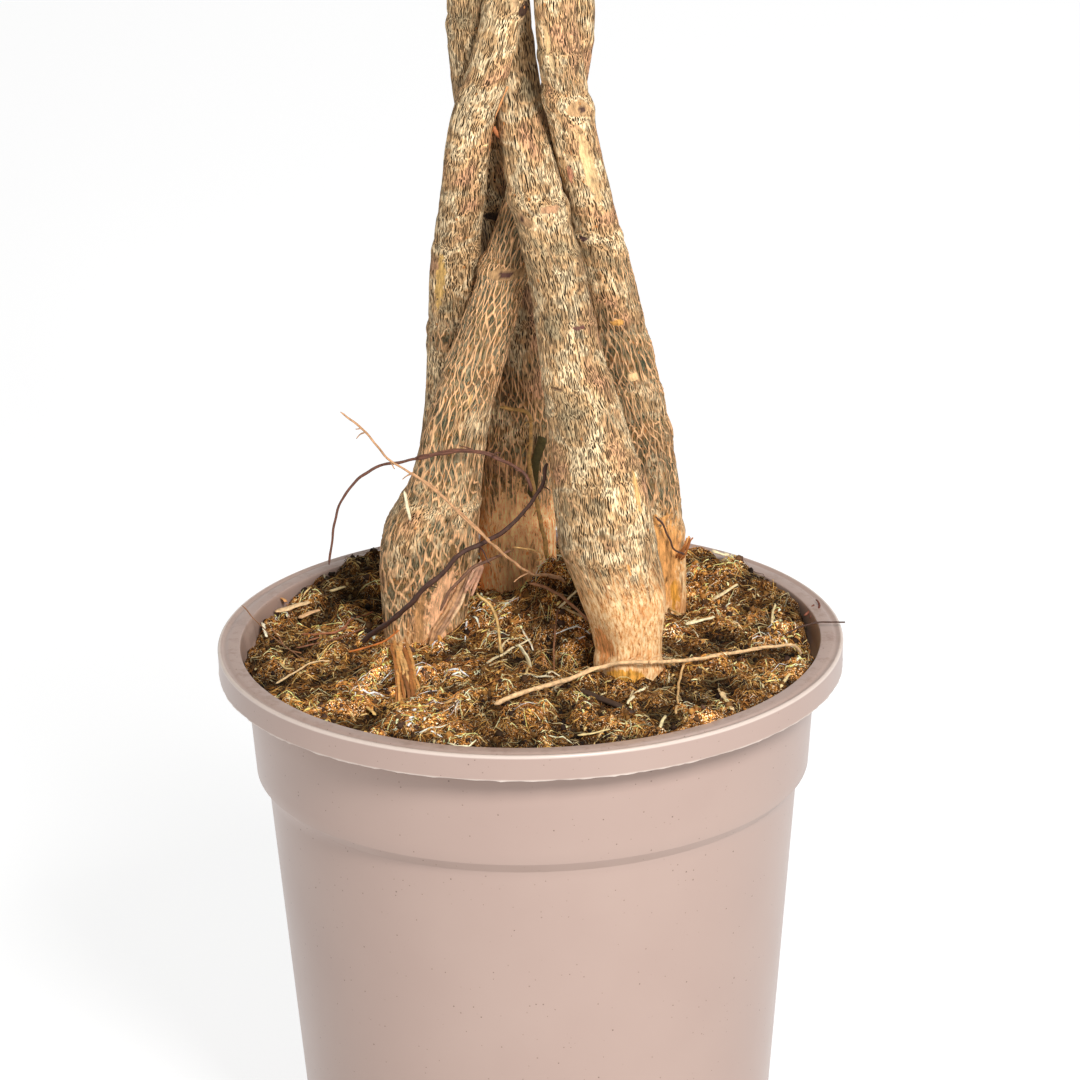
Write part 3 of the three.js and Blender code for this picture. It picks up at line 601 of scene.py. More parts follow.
# Marks on the bark: height above the rim, angle round the trunk (-90 faces the front), half length and
# half width in millimetres, degrees of drift per millimetre of height, colour, and depth (below 0 is raised)
marks = {
    "left": [
        (150, -88, 2.4, 8.0, 0, "#a8835a", 0), (150, -90, 1.4, 5.6, 0, "#4a302b", 0.2),
        (14, -64, 18, 5.6, 0.15, "#deab80", 0.9), (11, -94, 12, 2.2, 0, "#b98a5a", 0.2),
        (101, -82, 2.6, 0.8, 0, "#c9a063", -0.2), (36, -60, 7, 1.6, 0, "#7d5f3b", 0.5),
    ],
    "front": [
        (177, -126, 2.8, 3.0, 0, "#b98f66", -0.2), (177, -128, 1.7, 1.7, 0, "#523530", -0.3),
        (137, -62, 1.0, 2.5, 0, "#7e5048", 0.1), (114.5, -126, 0.9, 3.0, 0, "#64462f", 0.1),
        (14, -138, 7, 5.0, 0, "#da9154", 0.2), (1, -100, 5, 8.5, 0, "#dd9c3e", 0.1),
        (181, -66, 1.4, 4, 0, "#c0906a", -0.3), (74, -36, 9, 1.4, 0.4, "#d9a869", 0.2),
        (47, -68, 3.0, 0.9, 0, "#d08a45", 0.1),
    ],
    "right": [
        (194, -67, 16, 2.7, -0.31, "#dcb480", 0.5), (245, -121, 5.6, 1.5, 0, "#e3bd88", 0.3),
        (191, -120, 3.8, 1.4, 0, "#c98c6e", -0.3), (218.5, -66, 3.2, 5.0, 0, "#bd9468", -0.3),
        (218.5, -60, 1.9, 2.3, 0, "#482e2a", -0.5), (101.5, -79, 2.2, 2.1, 0.8, "#e6bd88", -0.7),
        (126, -86, 1.5, 2.8, 0, "#d59b52", -0.7), (163.5, -122, 1.1, 2.4, 0, "#54383a", 0.2),
        (20, -62, 19, 11, 0, "#dc9c5a", 0.9), (13, -56, 7, 0.7, -0.8, "#3b2412", 0.6),
        (4, -40, 8, 2.0, 0, "#c98a34", 0.2), (236, -112, 3.6, 1.0, 0, "#e9c794", 0.2),
    ],
    "back": [
        (166, -93, 1.8, 5, 0, "#2f211f", -0.2), (24, -92, 26, 11, 0, "#e9b982", 0.4),
    ],
    "back_left": [
        (142.5, -128, 12, 2.2, 0, "#d9ad66", 0.3), (255.5, -37, 3.0, 2.8, 0, "#38241f", -0.4),
        (208, -12, 9, 2.0, 0, "#cf8a4c", 0.3), (203, -48, 1.0, 1.6, 0, "#e8c48c", -0.4),
        (258, -70, 3, 1.2, 0, "#d7b083", -0.2),
    ],
}
# Swollen rings where a leaf once grew: height above the rim, swelling, half width
rings = {
    "left": [(150, 1.2, 3.2)],
    "front": [(181, 1.2, 3.4), (137, 0.4, 2.5), (114, 0.5, 2.5), (4, 0.6, 3)],
    "right": [(218, 1.0, 4.0), (163, 0.5, 2.5), (112, 0.6, 6), (72, 0.8, 5)],
    "back": [(166, 1.0, 2.6)],
    "back_left": [(255, 1.1, 3.5), (120, 0.6, 3)],
}
# Where the net is wide (left) and where the trunk wears papery root bark (right): height to share
wideNet = {
    "left": ([20, 60, 150, 185, 240], [0.75, 0.6, 1.0, 0.9, 0.1]),
    "front": ([40, 90, 130], [0.35, 0.1, 0.0]), "right": ([70, 110, 150, 190], [0.6, 0.75, 0.45, 0.1]),
    "back": ([60, 100, 160], [0.6, 0.5, 0.1]), "back_left": ([60, 110, 160], [0.4, 0.2, 0.0]),
}
rootBarkTop = {"left": 3, "front": 42, "right": 26, "back": 40, "back_left": 12}
# how light the bark is: heights and values; on the back trunk the raised values low down are painted light
# in the shade between the trunks
lightness = {
    "left": ([0, 50, 90], [1.12, 1.1, 1.04]), "front": ([0, 60, 110, 150], [1.04, 0.98, 0.92, 0.85]),
    "right": ([0, 60, 150], [1.06, 1.04, 1.05]),
    "back": ([15, 40, 70, 100, 130, 200], [1.6, 1.5, 1.25, 0.82, 0.52, 0.88]),
    "back_left": ([0, 60, 120], [1.5, 0.8, 0.94]),
}


def barkNet(tree):
    # cork net: fine cords round narrow slits, and thin threads round wide green gaps where the
    # bark has stretched
    grain = trait(tree, "grain", "vector")
    wobble = addNode(tree, "ShaderNodeTexNoise", {"Scale": 0.13, "Detail": 2.0}, {"Vector": grain})
    shift = addNode(tree, "ShaderNodeVectorMath",
                    {"operation": "MULTIPLY_ADD", 1: (2.6, 2.6, 9.0), 2: (-1.3, -1.3, -4.5)},
                    {0: wobble.outputs[1]})
    place = addNode(tree, "ShaderNodeVectorMath", {"operation": "ADD"}, {0: grain, 1: shift})
    net = {"grain": grain}
    for name in ("fine", "ridge"):
        across, along = bark[f"{name}Cell"]
        scaled = addNode(tree, "ShaderNodeVectorMath",
                         {"operation": "MULTIPLY", 1: (1 / across, 1 / across, 1 / along)}, {0: place})
        net[name] = addNode(tree, "ShaderNodeTexVoronoi", {"feature": "DISTANCE_TO_EDGE", "Scale": 1.0},
                            {"Vector": scaled})
        net[f"{name}Space"] = scaled
    # two families of slanting threads cross and leave long diamonds between them
    around = addNode(tree, "ShaderNodeSeparateXYZ", None, {0: trait(tree, "around", "vector")})
    angle = addNode(tree, "ShaderNodeMath", {"operation": "ARCTAN2"},
                    {0: around.outputs[1], 1: around.outputs[0]})
    turns = addNode(tree, "ShaderNodeMath",
                    {"operation": "MULTIPLY", 1: bark["threadsAround"] / (2 * math.pi)}, {0: angle})
    driftSpace = addNode(tree, "ShaderNodeVectorMath", {"operation": "MULTIPLY", 1: (0.09, 0.09, 0.035)},
                         {0: grain})
    drift = addNode(tree, "ShaderNodeTexNoise", {"Scale": 1.0, "Detail": 3.0}, {"Vector": driftSpace})
    drifts = addNode(tree, "ShaderNodeSeparateXYZ", None, {0: drift.outputs[1]})
    families = []
    for k, slant in enumerate((1.35, -0.75)):
        rise = addNode(tree, "ShaderNodeMath", {"operation": "MULTIPLY_ADD", 1: slant / bark["threadRise"]},
                       {0: around.outputs[2], 2: turns})
        bent = addNode(tree, "ShaderNodeMath", {"operation": "MULTIPLY_ADD", 1: 5.0},
                       {0: drifts.outputs[k], 2: rise})
        families.append(addNode(tree, "ShaderNodeMath", {"operation": "PINGPONG", 1: 0.5}, {0: bent}))
    net["wide"] = addNode(tree, "ShaderNodeMath", {"operation": "MINIMUM"}, {0: families[0], 1: families[1]})
    patchy = addNode(tree, "ShaderNodeTexNoise", {"Scale": 0.055, "Detail": 2.0}, {"Vector": grain})
    patchyMore = addNode(tree, "ShaderNodeMath", {"operation": "MULTIPLY_ADD", 1: 2.3, 2: -1.15},
                         {0: patchy})
    wideRaw = addNode(tree, "ShaderNodeMath", {"operation": "ADD"}, {0: trait(tree, "wide"), 1: patchyMore})
    net["stretched"] = addNode(tree, "ShaderNodeMapRange", {1: 0.3, 2: 0.7, 3: 0.0, 4: 1.0}, {0: wideRaw})
    covered = addNode(tree, "ShaderNodeMath", {"operation": "SUBTRACT", 0: 1.0, "use_clamp": True},
                      {1: trait(tree, "bare")})
    calm = addNode(tree, "ShaderNodeMath", {"operation": "MULTIPLY_ADD", 1: -0.7, 2: 1.0},
                   {0: trait(tree, "rootBark")})
    net["strength"] = addNode(tree, "ShaderNodeMath", {"operation": "MULTIPLY"}, {0: covered, 1: calm})
    return net


def cordLevel(tree, cell, inner, outer):
    return addNode(tree, "ShaderNodeMapRange",
                   {"interpolation_type": "SMOOTHSTEP", 1: inner, 2: outer, 3: 1.0, 4: 0.0}, {0: cell})


def makeReliefTree():
    # lifts the cords of the net off the trunk's surface as real relief
    tree = bpy.data.node_groups.new("barkRelief", "GeometryNodeTree")
    tree.interface.new_socket("Geometry", in_out="INPUT", socket_type="NodeSocketGeometry")
    tree.interface.new_socket("Geometry", in_out="OUTPUT", socket_type="NodeSocketGeometry")
    entry = addNode(tree, "NodeGroupInput")
    net = barkNet(tree)
    # the mesh is too coarse for the fine net, so it takes broader ridges there
    broad = addNode(tree, "ShaderNodeMix", {"data_type": "FLOAT"},
                    {0: net["stretched"], 2: cordLevel(tree, net["ridge"], 0.0, 0.4),
                     3: cordLevel(tree, net["wide"], 0.02, 0.24)})
    height = addNode(tree, "ShaderNodeMath", {"operation": "SUBTRACT", 1: 0.6}, {0: broad})
    depth = addNode(tree, "ShaderNodeMix",
                    {"data_type": "FLOAT", 2: bark["reliefFine"] * mm, 3: bark["reliefWide"] * mm},
                    {0: net["stretched"]})
    scaled = addNode(tree, "ShaderNodeMath", {"operation": "MULTIPLY"}, {0: height, 1: depth})
    lifted = addNode(tree, "ShaderNodeMath", {"operation": "MULTIPLY"}, {0: scaled, 1: net["strength"]})
    normal = addNode(tree, "GeometryNodeInputNormal")
    offset = addNode(tree, "ShaderNodeVectorMath", {"operation": "SCALE"}, {0: normal, "Scale": lifted})
    moved = addNode(tree, "GeometryNodeSetPosition", None, {"Geometry": entry, "Offset": offset})
    addNode(tree, "NodeGroupOutput", None, {0: moved})
    return tree


def makeBarkMaterial():
    # living bark: matt cork cords, tan to grey, over olive gaps, with orange breathing spots and
    # dark leaf scars
    material, tree, shader = newMaterial("corkyBark", {"Roughness": 0.78, "Specular IOR Level": 0.18})
    net = barkNet(tree)
    grain = net["grain"]
    noises = {}
    for name, (across, along, detail, rough) in bark["noises"].items():
        space = addNode(tree, "ShaderNodeVectorMath", {"operation": "MULTIPLY", 1: (across, across, along)},
                        {0: grain})
        noises[name] = addNode(tree, "ShaderNodeTexNoise",
                               {"Scale": 1.0, "Detail": detail, "Roughness": rough}, {"Vector": space})
    tone = addNode(tree, "ShaderNodeTexNoise", {"Scale": 0.05, "Detail": 5.0, "Roughness": 0.6},
                   {"Vector": grain})
    cordRamp = addNode(tree, "ShaderNodeValToRGB", {"stops": [
        (0.34, bark["cordPink"]), (0.44, bark["cordTan"]), (0.50, bark["cordPale"]), (0.57, bark["cordTan"]),
        (0.66, bark["cordGrey"])]}, {0: tone})
    # streaks along the grain, 0.6 mm apart
    streakLevel = addNode(tree, "ShaderNodeMapRange", {1: 0.33, 2: 0.67, 3: 0.5, 4: 1.5},
                          {0: noises["streak"]})
    cordColour = addNode(tree, "ShaderNodeVectorMath", {"operation": "SCALE"},
                         {0: cordRamp, "Scale": streakLevel})
    # each slit of the fine net has its own depth of brown
    slitCell = addNode(tree, "ShaderNodeTexVoronoi", {"Scale": 1.0}, {"Vector": net["fineSpace"]})
    slitPick = addNode(tree, "ShaderNodeSeparateColor", None, {0: slitCell.outputs[1]})
    slit = addNode(tree, "ShaderNodeValToRGB", {"stops": [
        (0.0, bark["slitDark"]), (0.5, bark["slitBrown"]), (1.0, bark["slitTan"])]}, {0: slitPick})
    fineCords = cordLevel(tree, net["fine"], 0.08, 0.27)
    fineColour = addNode(tree, "ShaderNodeMix", {"data_type": "RGBA"},
                         {0: fineCords, 6: slit, 7: cordColour})
    # wide gaps: green inner bark with faint cords and red-brown flecks, crossed by thin pale threads
    greenCloud = addNode(tree, "ShaderNodeTexNoise", {"Scale": 0.14, "Detail": 3.0}, {"Vector": grain})
    gapRamp = addNode(tree, "ShaderNodeValToRGB", {"stops": [
        (0.36, bark["gapTan"]), (0.45, bark["gapOlive"]), (0.54, bark["gapGreen"])]}, {0: greenCloud})
    gapColour = addNode(tree, "ShaderNodeVectorMath", {"operation": "SCALE"},
                        {0: gapRamp, "Scale": streakLevel})
    faint = addNode(tree, "ShaderNodeMath", {"operation": "MULTIPLY", 1: 0.28}, {0: fineCords})
    gapNetted = addNode(tree, "ShaderNodeMix", {"data_type": "RGBA"},
                        {0: faint, 6: gapColour.outputs[0], 7: cordColour})
    fleckMask = addNode(tree, "ShaderNodeMapRange", {1: 0.56, 2: 0.66, 3: 0.0, 4: 0.6},
                        {0: noises["fleck"]})
    gapFlecked = addNode(tree, "ShaderNodeMix", {"data_type": "RGBA", 7: linear(bark["rootOrange"])},
                         {0: fleckMask, 6: gapNetted.outputs[2]})
    threadLevel = cordLevel(tree, net["wide"], 0.055, 0.17)
    threadShade = addNode(tree, "ShaderNodeVectorMath",
                          {"operation": "SCALE", 0: linear(bark["thread"])[:3]},
                          {"Scale": streakLevel})
    wideColour = addNode(tree, "ShaderNodeMix", {"data_type": "RGBA"},
                         {0: threadLevel, 6: gapFlecked.outputs[2], 7: threadShade})
    netted = addNode(tree, "ShaderNodeMix", {"data_type": "RGBA"},
                     {0: net["stretched"], 6: fineColour.outputs[2], 7: wideColour.outputs[2]})
    # papery root bark near the soil: pale peach with upright flecks, orange where its skin is
    # thin, greyer higher up
    paperRamp = addNode(tree, "ShaderNodeValToRGB", {"stops": [
        (0.33, bark["rootBrown"]), (0.40, bark["rootOrange"]), (0.47, bark["rootTan"]),
        (0.57, bark["rootPale"])]}, {0: noises["paper"]})
    thin = addNode(tree, "ShaderNodeTexNoise", {"Scale": 0.075, "Detail": 4.0, "Roughness": 0.6},
                   {"Vector": grain})
    thinMask = addNode(tree, "ShaderNodeMapRange", {1: 0.5, 2: 0.64, 3: 0.0, 4: 0.6}, {0: thin})
    paper = addNode(tree, "ShaderNodeMix", {"data_type": "RGBA", 7: linear(bark["rootOrange"])},
                    {0: thinMask, 6: paperRamp})
    frayed = addNode(tree, "ShaderNodeMath", {"operation": "MULTIPLY_ADD", 1: 2.4, 2: -1.2},
                     {0: noises["fray"]})
    rootEdge = addNode(tree, "ShaderNodeMath", {"operation": "ADD"}, {0: trait(tree, "rootBark"), 1: frayed})
    greyer = addNode(tree, "ShaderNodeMapRange", {1: 0.45, 2: 0.85, 3: 0.8, 4: 0.0}, {0: rootEdge})
    paperAged = addNode(tree, "ShaderNodeMix",
                        {"data_type": "RGBA", "blend_type": "MULTIPLY", 7: linear(bark["rootGrey"])},
                        {0: greyer, 6: paper.outputs[2]})
    rootMask = addNode(tree, "ShaderNodeMapRange", {1: 0.3, 2: 0.7, 3: 0.0, 4: 0.9}, {0: rootEdge})
    rooted = addNode(tree, "ShaderNodeMix", {"data_type": "RGBA"},
                     {0: rootMask, 6: netted.outputs[2], 7: paperAged.outputs[2]})
    # peeled places, chips and scars keep their own colour, with a ragged edge
    ragged = addNode(tree, "ShaderNodeMath", {"operation": "MULTIPLY_ADD", 1: 1.8, 2: -0.9},
                     {0: noises["edge"]})
    cover = addNode(tree, "ShaderNodeMath", {"operation": "ADD"}, {0: trait(tree, "bare"), 1: ragged})
    mask = addNode(tree, "ShaderNodeMapRange", {1: 0.42, 2: 0.62, 3: 0.0, 4: 0.95}, {0: cover})
    woodGrain = addNode(tree, "ShaderNodeMath", {"operation": "ADD"},
                        {0: noises["paper"], 1: noises["fray"]})
    woodTone = addNode(tree, "ShaderNodeMapRange", {1: 0.75, 2: 1.2, 3: 0.3, 4: 1.45}, {0: woodGrain})
    markColour = addNode(tree, "ShaderNodeVectorMath", {"operation": "SCALE"},
                         {0: trait(tree, "markColour", "colour"), "Scale": woodTone})
    marked = addNode(tree, "ShaderNodeMix", {"data_type": "RGBA"},
                     {0: mask, 6: rooted.outputs[2], 7: markColour})
    # breathing spots about 1 mm across, a few in each square centimetre
    spotSpace = addNode(tree, "ShaderNodeVectorMath", {"operation": "MULTIPLY", 1: (0.21, 0.21, 0.16)},
                        {0: grain})
    spotNet = addNode(tree, "ShaderNodeTexVoronoi", {"Scale": 1.0}, {"Vector": spotSpace})
    spotPick = addNode(tree, "ShaderNodeSeparateColor", None, {0: spotNet.outputs[1]})
    spotSize = addNode(tree, "ShaderNodeMath", {"operation": "MULTIPLY", 1: 0.16}, {0: spotPick.outputs[0]})
    spotGap = addNode(tree, "ShaderNodeMath", {"operation": "SUBTRACT"},
                      {0: spotSize, 1: spotNet.outputs[0]})
    spotMask = addNode(tree, "ShaderNodeMapRange", {1: 0.0, 2: 0.06, 3: 0.0, 4: 0.8}, {0: spotGap})
    spotted = addNode(tree, "ShaderNodeMix", {"data_type": "RGBA", 7: linear(bark["lenticel"])},
                      {0: spotMask, 6: marked.outputs[2]})
    # lightness scales the bark colour; on the back trunk's foot it is painted light in the shade between the
    # trunks
    barkWithPaintedLight = addNode(tree, "ShaderNodeVectorMath", {"operation": "SCALE"},
                   {0: spotted.outputs[2], "Scale": trait(tree, "lightness")})
    # fine corky grain too small for the mesh
    fuzz = addNode(tree, "ShaderNodeTexNoise", {"Scale": 1.5, "Detail": 5.0, "Roughness": 0.7},
                   {"Vector": grain})
    cords = addNode(tree, "ShaderNodeMix", {"data_type": "FLOAT"},
                    {0: net["stretched"], 2: fineCords, 3: threadLevel})
    cordHeight = addNode(tree, "ShaderNodeMath", {"operation": "MULTIPLY"}, {0: cords, 1: net["strength"]})
    height = addNode(tree, "ShaderNodeMath", {"operation": "MULTIPLY_ADD", 1: 0.6}, {0: fuzz, 2: cordHeight})
    spotHeight = addNode(tree, "ShaderNodeMath", {"operation": "MULTIPLY_ADD", 1: 0.6},
                         {0: spotMask, 2: height})
    joinUp(tree, shader, barkWithPaintedLight.outputs[0], spotHeight, 1.0, 0.5)
    return material


def trunkMarks(place, top, chance):
    # the marks that show from the front, and others drawn round the rest of the trunk
    found = list(marks[place])
    swells = list(rings[place])
    for height in range(40, int(top) - 10, bark["scarSpacing"]):
        spot = height + chance.uniform(-18, 18)
        # low down the front has its own marks, so these keep to the back
        angle = chance.uniform(20, 160) if spot < bark["fineTo"] else chance.uniform(-180, 180)
        swells.append((spot, chance.uniform(0.3, 0.7), chance.uniform(2.2, 3.4)))
        found.append((spot - 1, angle, chance.uniform(1.2, 2.2), chance.uniform(2, 3.4), 0, "#4a3236", -0.3))
        if chance.random() < 0.6:
            where = spot + chance.uniform(14, 40)
            side = chance.uniform(25, 155) if where < bark["fineTo"] else chance.uniform(-180, 180)
            colour = chance.choice(["#e3bd86", "#d6a563", "#c98c6e"])
            found.append((where, side, chance.uniform(3, 10), chance.uniform(1, 2.2), 0, colour, 0.3))
    return found, swells


def makeTrunk(place, material, relief):
    trunk = trunks[place]
    chance = random.Random(f"trunk {place}")
    seed = len(place) + trunk["turn"] * 0.1
    heights = np.concatenate([
        np.linspace(bark["foot"], bark["fineFrom"], 14, endpoint=False),
        np.arange(bark["fineFrom"], bark["fineTo"], bark["fineStep"]),
        np.arange(bark["fineTo"], trunk["top"] - 1.2, bark["highStep"]),
        [trunk["top"] - 0.5, trunk["top"]],
    ])
    centres = np.array([between(trunk["rows"], h) for h in heights])
    path = np.stack([centres[:, 0], centres[:, 1], potHeight + heights], axis=1)
    run = np.concatenate([[0], np.cumsum(np.linalg.norm(np.diff(path, axis=0), axis=1))])
    turn, height = np.meshgrid(fullCircle(bark["sides"]), heights)
    radius = np.repeat(centres[:, 2][:, None], bark["sides"], axis=1)
    # the trunk's foot is fluted where its roots begin
    footShare = np.clip((bark["footTop"] - height) / bark["footTop"], 0, 1)
    radius *= (1 + bark["flute"] * (0.25 + footShare) * np.sin(5 * turn + seed)
               + 0.02 * np.sin(3 * turn + 2 * seed))
    found, swells = trunkMarks(place, trunk["top"], chance)
    share, above, width = bark["ringGroove"]
    for spot, swell, half in swells:
        away = (height - spot - bark["ringTilt"] * np.sin(turn + spot)) / half
        groove = share * swell * np.exp(-((away - above) / width) ** 2)
        radius += swell * np.exp(-away**2) - groove
    bare = np.zeros_like(radius)
    colour = np.tile(np.array(linear(bark["unmarked"])), (*radius.shape, 1))
    for spot, angle, halfLong, halfWide, drift, hexColour, depth in found:
        centre = angle + drift * (height - spot)
        across = ((np.degrees(turn) - centre + 180) % 360 - 180) * math.pi / 180 * radius
        away = np.sqrt(((height - spot) / halfLong) ** 2 + (across / halfWide) ** 2)
        soft = 0.35 if halfLong < 6 else 0.65  # big patches fray more at the edge
        here = np.clip((1 + soft - away) / (2 * soft), 0, 1)
        inside = (here > 0) & (here >= bare)
        bare = np.maximum(bare, here)
        colour[inside] = linear(hexColour)
        radius -= depth * np.clip((1.15 - away) / 0.3, 0, 1)
    # grain is the place on the trunk laid straight, around the same on a trunk of unit radius
    length = np.repeat(run[:, None], bark["sides"], axis=1)
    grain = np.stack([radius * np.cos(turn), radius * np.sin(turn), length], axis=2).reshape(-1, 3)
    grain += seed * 13
    around = np.stack([np.cos(turn), np.sin(turn), length], axis=2).reshape(-1, 3)
    lumps = noiseAt(grain, bark["lumpSize"], seed) + 0.5 * noiseAt(grain, bark["lumpSize"] / 3, seed + 1)
    radius += bark["lump"] * lumps.reshape(radius.shape)
    radius[-1] -= bark["worn"]  # the sawn top has a worn edge
    points = np.stack([
        centres[:, 0][:, None] + radius * np.cos(turn), centres[:, 1][:, None] + radius * np.sin(turn),
        potHeight + height], axis=2).reshape(-1, 3)
    widths = np.interp(height, *wideNet[place])
    rootBark = np.clip((rootBarkTop[place] + bark["rootFade"] - height) / (2 * bark["rootFade"]), 0, 1)
    # lightness by height, with painted light on the back trunk's shaded foot, and a random cloud
    light = np.interp(height.ravel(), *lightness[place])
    light = light * (1 + bark["cloud"] * noiseAt(grain, bark["cloudSize"], seed + 3))
    traits = {
        "grain": grain, "around": around, "wide": widths.ravel(), "bare": bare.ravel(),
        "rootBark": rootBark.ravel(), "lightness": light, "markColour": colour.reshape(-1, 4),
    }
    piece = makePiece(f"trunk_{place}_bark", points, ringFaces(len(heights), bark["sides"]), material,
                      (f"trunk_{place}",), traits)
    applyModifier(piece, "NODES", {"node_group": relief})


barkMaterial = makeBarkMaterial()
reliefTree = makeReliefTree()
for place in trunks:
    makeTrunk(place, barkMaterial, reliefTree)
bpy.data.node_groups.remove(reliefTree)
print("trunks made")

# Soil: peat and coir, heaped round the trunks, with loose fibres, chips and crumbs on it
soil = {
    "cells": 204, "edge": -4.5, "moundHeight": 9, "moundSpread": 38, "moundBack": 8, "gap": 0.6,
    "wallRows": (200, 172, 160), "wallBand": 5, "wallDip": 1.8, "litterReach": 106.0,
    # heaps and hollows: x, y, height, spread
    "heaps": [
        (15, 8, 22, 13), (-66, 80, 9, 17), (-14, 26, 4, 16), (0, -52, 2.5, 26), (88, 14, 3, 12),
        (70, 62, 2.5, 16), (36, 94, 4, 14), (62, 82, 6, 14), (82, 62, 6, 13), (98, 40, 4, 9),
        (-88, 58, 3, 10), (-40, 96, 3, 14), (108, 4, -10, 7), (104, 18, -4, 8), (13, -30, -7, 5),
        (62, 42, -5, 8), (-84, 40, -4, 6), (46, -40, 3.5, 5), (-96, 22, -3.5, 14), (-100, -20, -1.5, 12),
        (-30, -70, 1.5, 20), (60, -70, 2, 20),
    ],
    "clod": 3.4, "clodSize": 15, "crease": 5.4, "creaseSize": 8.5, "crumb": 2.2, "crumbSize": 3.6,
    # places that have dried out: x, y, spread, and how much paler
    "dry": [
        (-60, -50, 24, 1.3), (78, 35, 28, 1.35), (-69, -60, 6, 0.7), (-59, -16, 5, 0.9),
        (-62, -27, 5, 0.7), (-42, -12, 4, 0.7), (-33, -42, 5, 0.8), (-90, 47, 8, 0.8), (70, -5, 20, 0.5),
        (5, -62, 30, -0.15),
    ],
    "dark": "#0e0703", "mid": "#4e2e13", "light": "#a66d30", "pale": "#eebd76", "fleck": "#f8e5c0",
}


def soilLevel(x, y):
    # the CAD soil's own surface with the heaps on it
    distance = x**2 + (y - soil["moundBack"]) ** 2
    mound = soil["moundHeight"] * np.exp(-distance / (2 * soil["moundSpread"] ** 2))
    level = potHeight + soil["edge"] + mound
    level += 0.012 * x - 0.016 * y + 0.9 * np.sin(x / 17 + 1) * np.sin(y / 14)
    for heapX, heapY, height, spread in soil["heaps"]:
        level += height * np.exp(-((x - heapX) ** 2 + (y - heapY) ** 2) / (2 * spread**2))
    return level


def soilRough(x, y):
    # clods parted by creases, with crumbs on them: height off the level in millimetres
    flat = np.stack([x, y, 0 * x], axis=-1).reshape(-1, 3)
    rough = soil["clod"] * noiseAt(flat, soil["clodSize"], 2)
    rough += soil["crease"] * (np.abs(noiseAt(flat, soil["creaseSize"], 5)) - 0.22)
    rough += soil["crumb"] * (np.abs(noiseAt(flat, soil["crumbSize"], 7)) - 0.2)
    return rough.reshape(np.shape(x))


def soilSurface(x, y):
    return soilLevel(x, y) + soilRough(x, y)


def soilToneAndShade(x, y):
    # painted shade: creases and hollows are darker; dry places are paler
    raised = np.clip((soilRough(x, y) + 1.6) / 3.6, 0, 1)
    flat = np.stack([x, y, 0 * x + 31], axis=-1).reshape(-1, 3)
    tone = (0.16 + 1.2 * raised) * np.clip(1.05 + 1.1 * noiseAt(flat, 24, 9).reshape(np.shape(x)), 0.45, 2.0)
    for dryX, dryY, spread, gain in soil["dry"]:
        tone = tone * (1 + gain * np.exp(-((x - dryX) ** 2 + (y - dryY) ** 2) / (2 * spread**2)))
    return tone


def makeSoilMaterial():
    # damp peat and coir: matt dark brown crumb with tan fibres matted into it
    material, tree, shader = newMaterial("peatAndCoir", {"Roughness": 0.92, "Specular IOR Level": 0.1})
    place = objectMm(tree)
    bend = addNode(tree, "ShaderNodeTexNoise", {"Scale": 0.16, "Detail": 2.0}, {"Vector": place})
    swirl = addNode(tree, "ShaderNodeVectorMath", {"operation": "MULTIPLY_ADD", 1: (14, 14, 14)},
                    {0: bend.outputs[1], 2: place})
    # fibres that lie three ways
    threads = []
    for stretch in ((1.5, 0.22, 0.8), (0.22, 1.5, 0.8), (0.9, 0.9, 0.25)):
        scaled = addNode(tree, "ShaderNodeVectorMath", {"operation": "MULTIPLY", 1: stretch}, {0: swirl})
        thread = addNode(tree, "ShaderNodeTexNoise", {"Scale": 1.0, "Detail": 3.0, "Roughness": 0.6},
                         {"Vector": scaled})
        threads.append(thread)
    most = addNode(tree, "ShaderNodeMath", {"operation": "MAXIMUM"}, {0: threads[0], 1: threads[1]})
    matted = addNode(tree, "ShaderNodeMath", {"operation": "MAXIMUM"}, {0: most, 1: threads[2]})
    grit = addNode(tree, "ShaderNodeTexNoise", {"Scale": 0.5, "Detail": 8.0, "Roughness": 0.75},
                   {"Vector": place})
    mixed = addNode(tree, "ShaderNodeMix", {"data_type": "FLOAT", 0: 0.5}, {2: matted, 3: grit})
    ramp = addNode(tree, "ShaderNodeValToRGB", {"stops": [
        (0.46, soil["dark"]), (0.53, soil["mid"]), (0.58, soil["light"]), (0.66, soil["pale"])]}, {0: mixed})
    # dust and root hairs are under 0.3 mm, drawn at 0.5 mm so that they show
    fleck = addNode(tree, "ShaderNodeTexNoise", {"Scale": 1.9, "Detail": 1.0}, {"Vector": place})
    fleckMask = addNode(tree, "ShaderNodeMapRange", {1: 0.62, 2: 0.68, 3: 0.0, 4: 0.75}, {0: fleck})
    flecked = addNode(tree, "ShaderNodeMix", {"data_type": "RGBA", 7: linear(soil["fleck"])},
                      {0: fleckMask, 6: ramp})
    # the tone trait carries painted shade in creases and hollows, paler dry places and a random tone
    toned = addNode(tree, "ShaderNodeVectorMath", {"operation": "SCALE"},
                    {0: flecked.outputs[2], "Scale": trait(tree, "tone")})
    joinUp(tree, shader, toned.outputs[0], mixed, 1.0, 1.0)
    return material


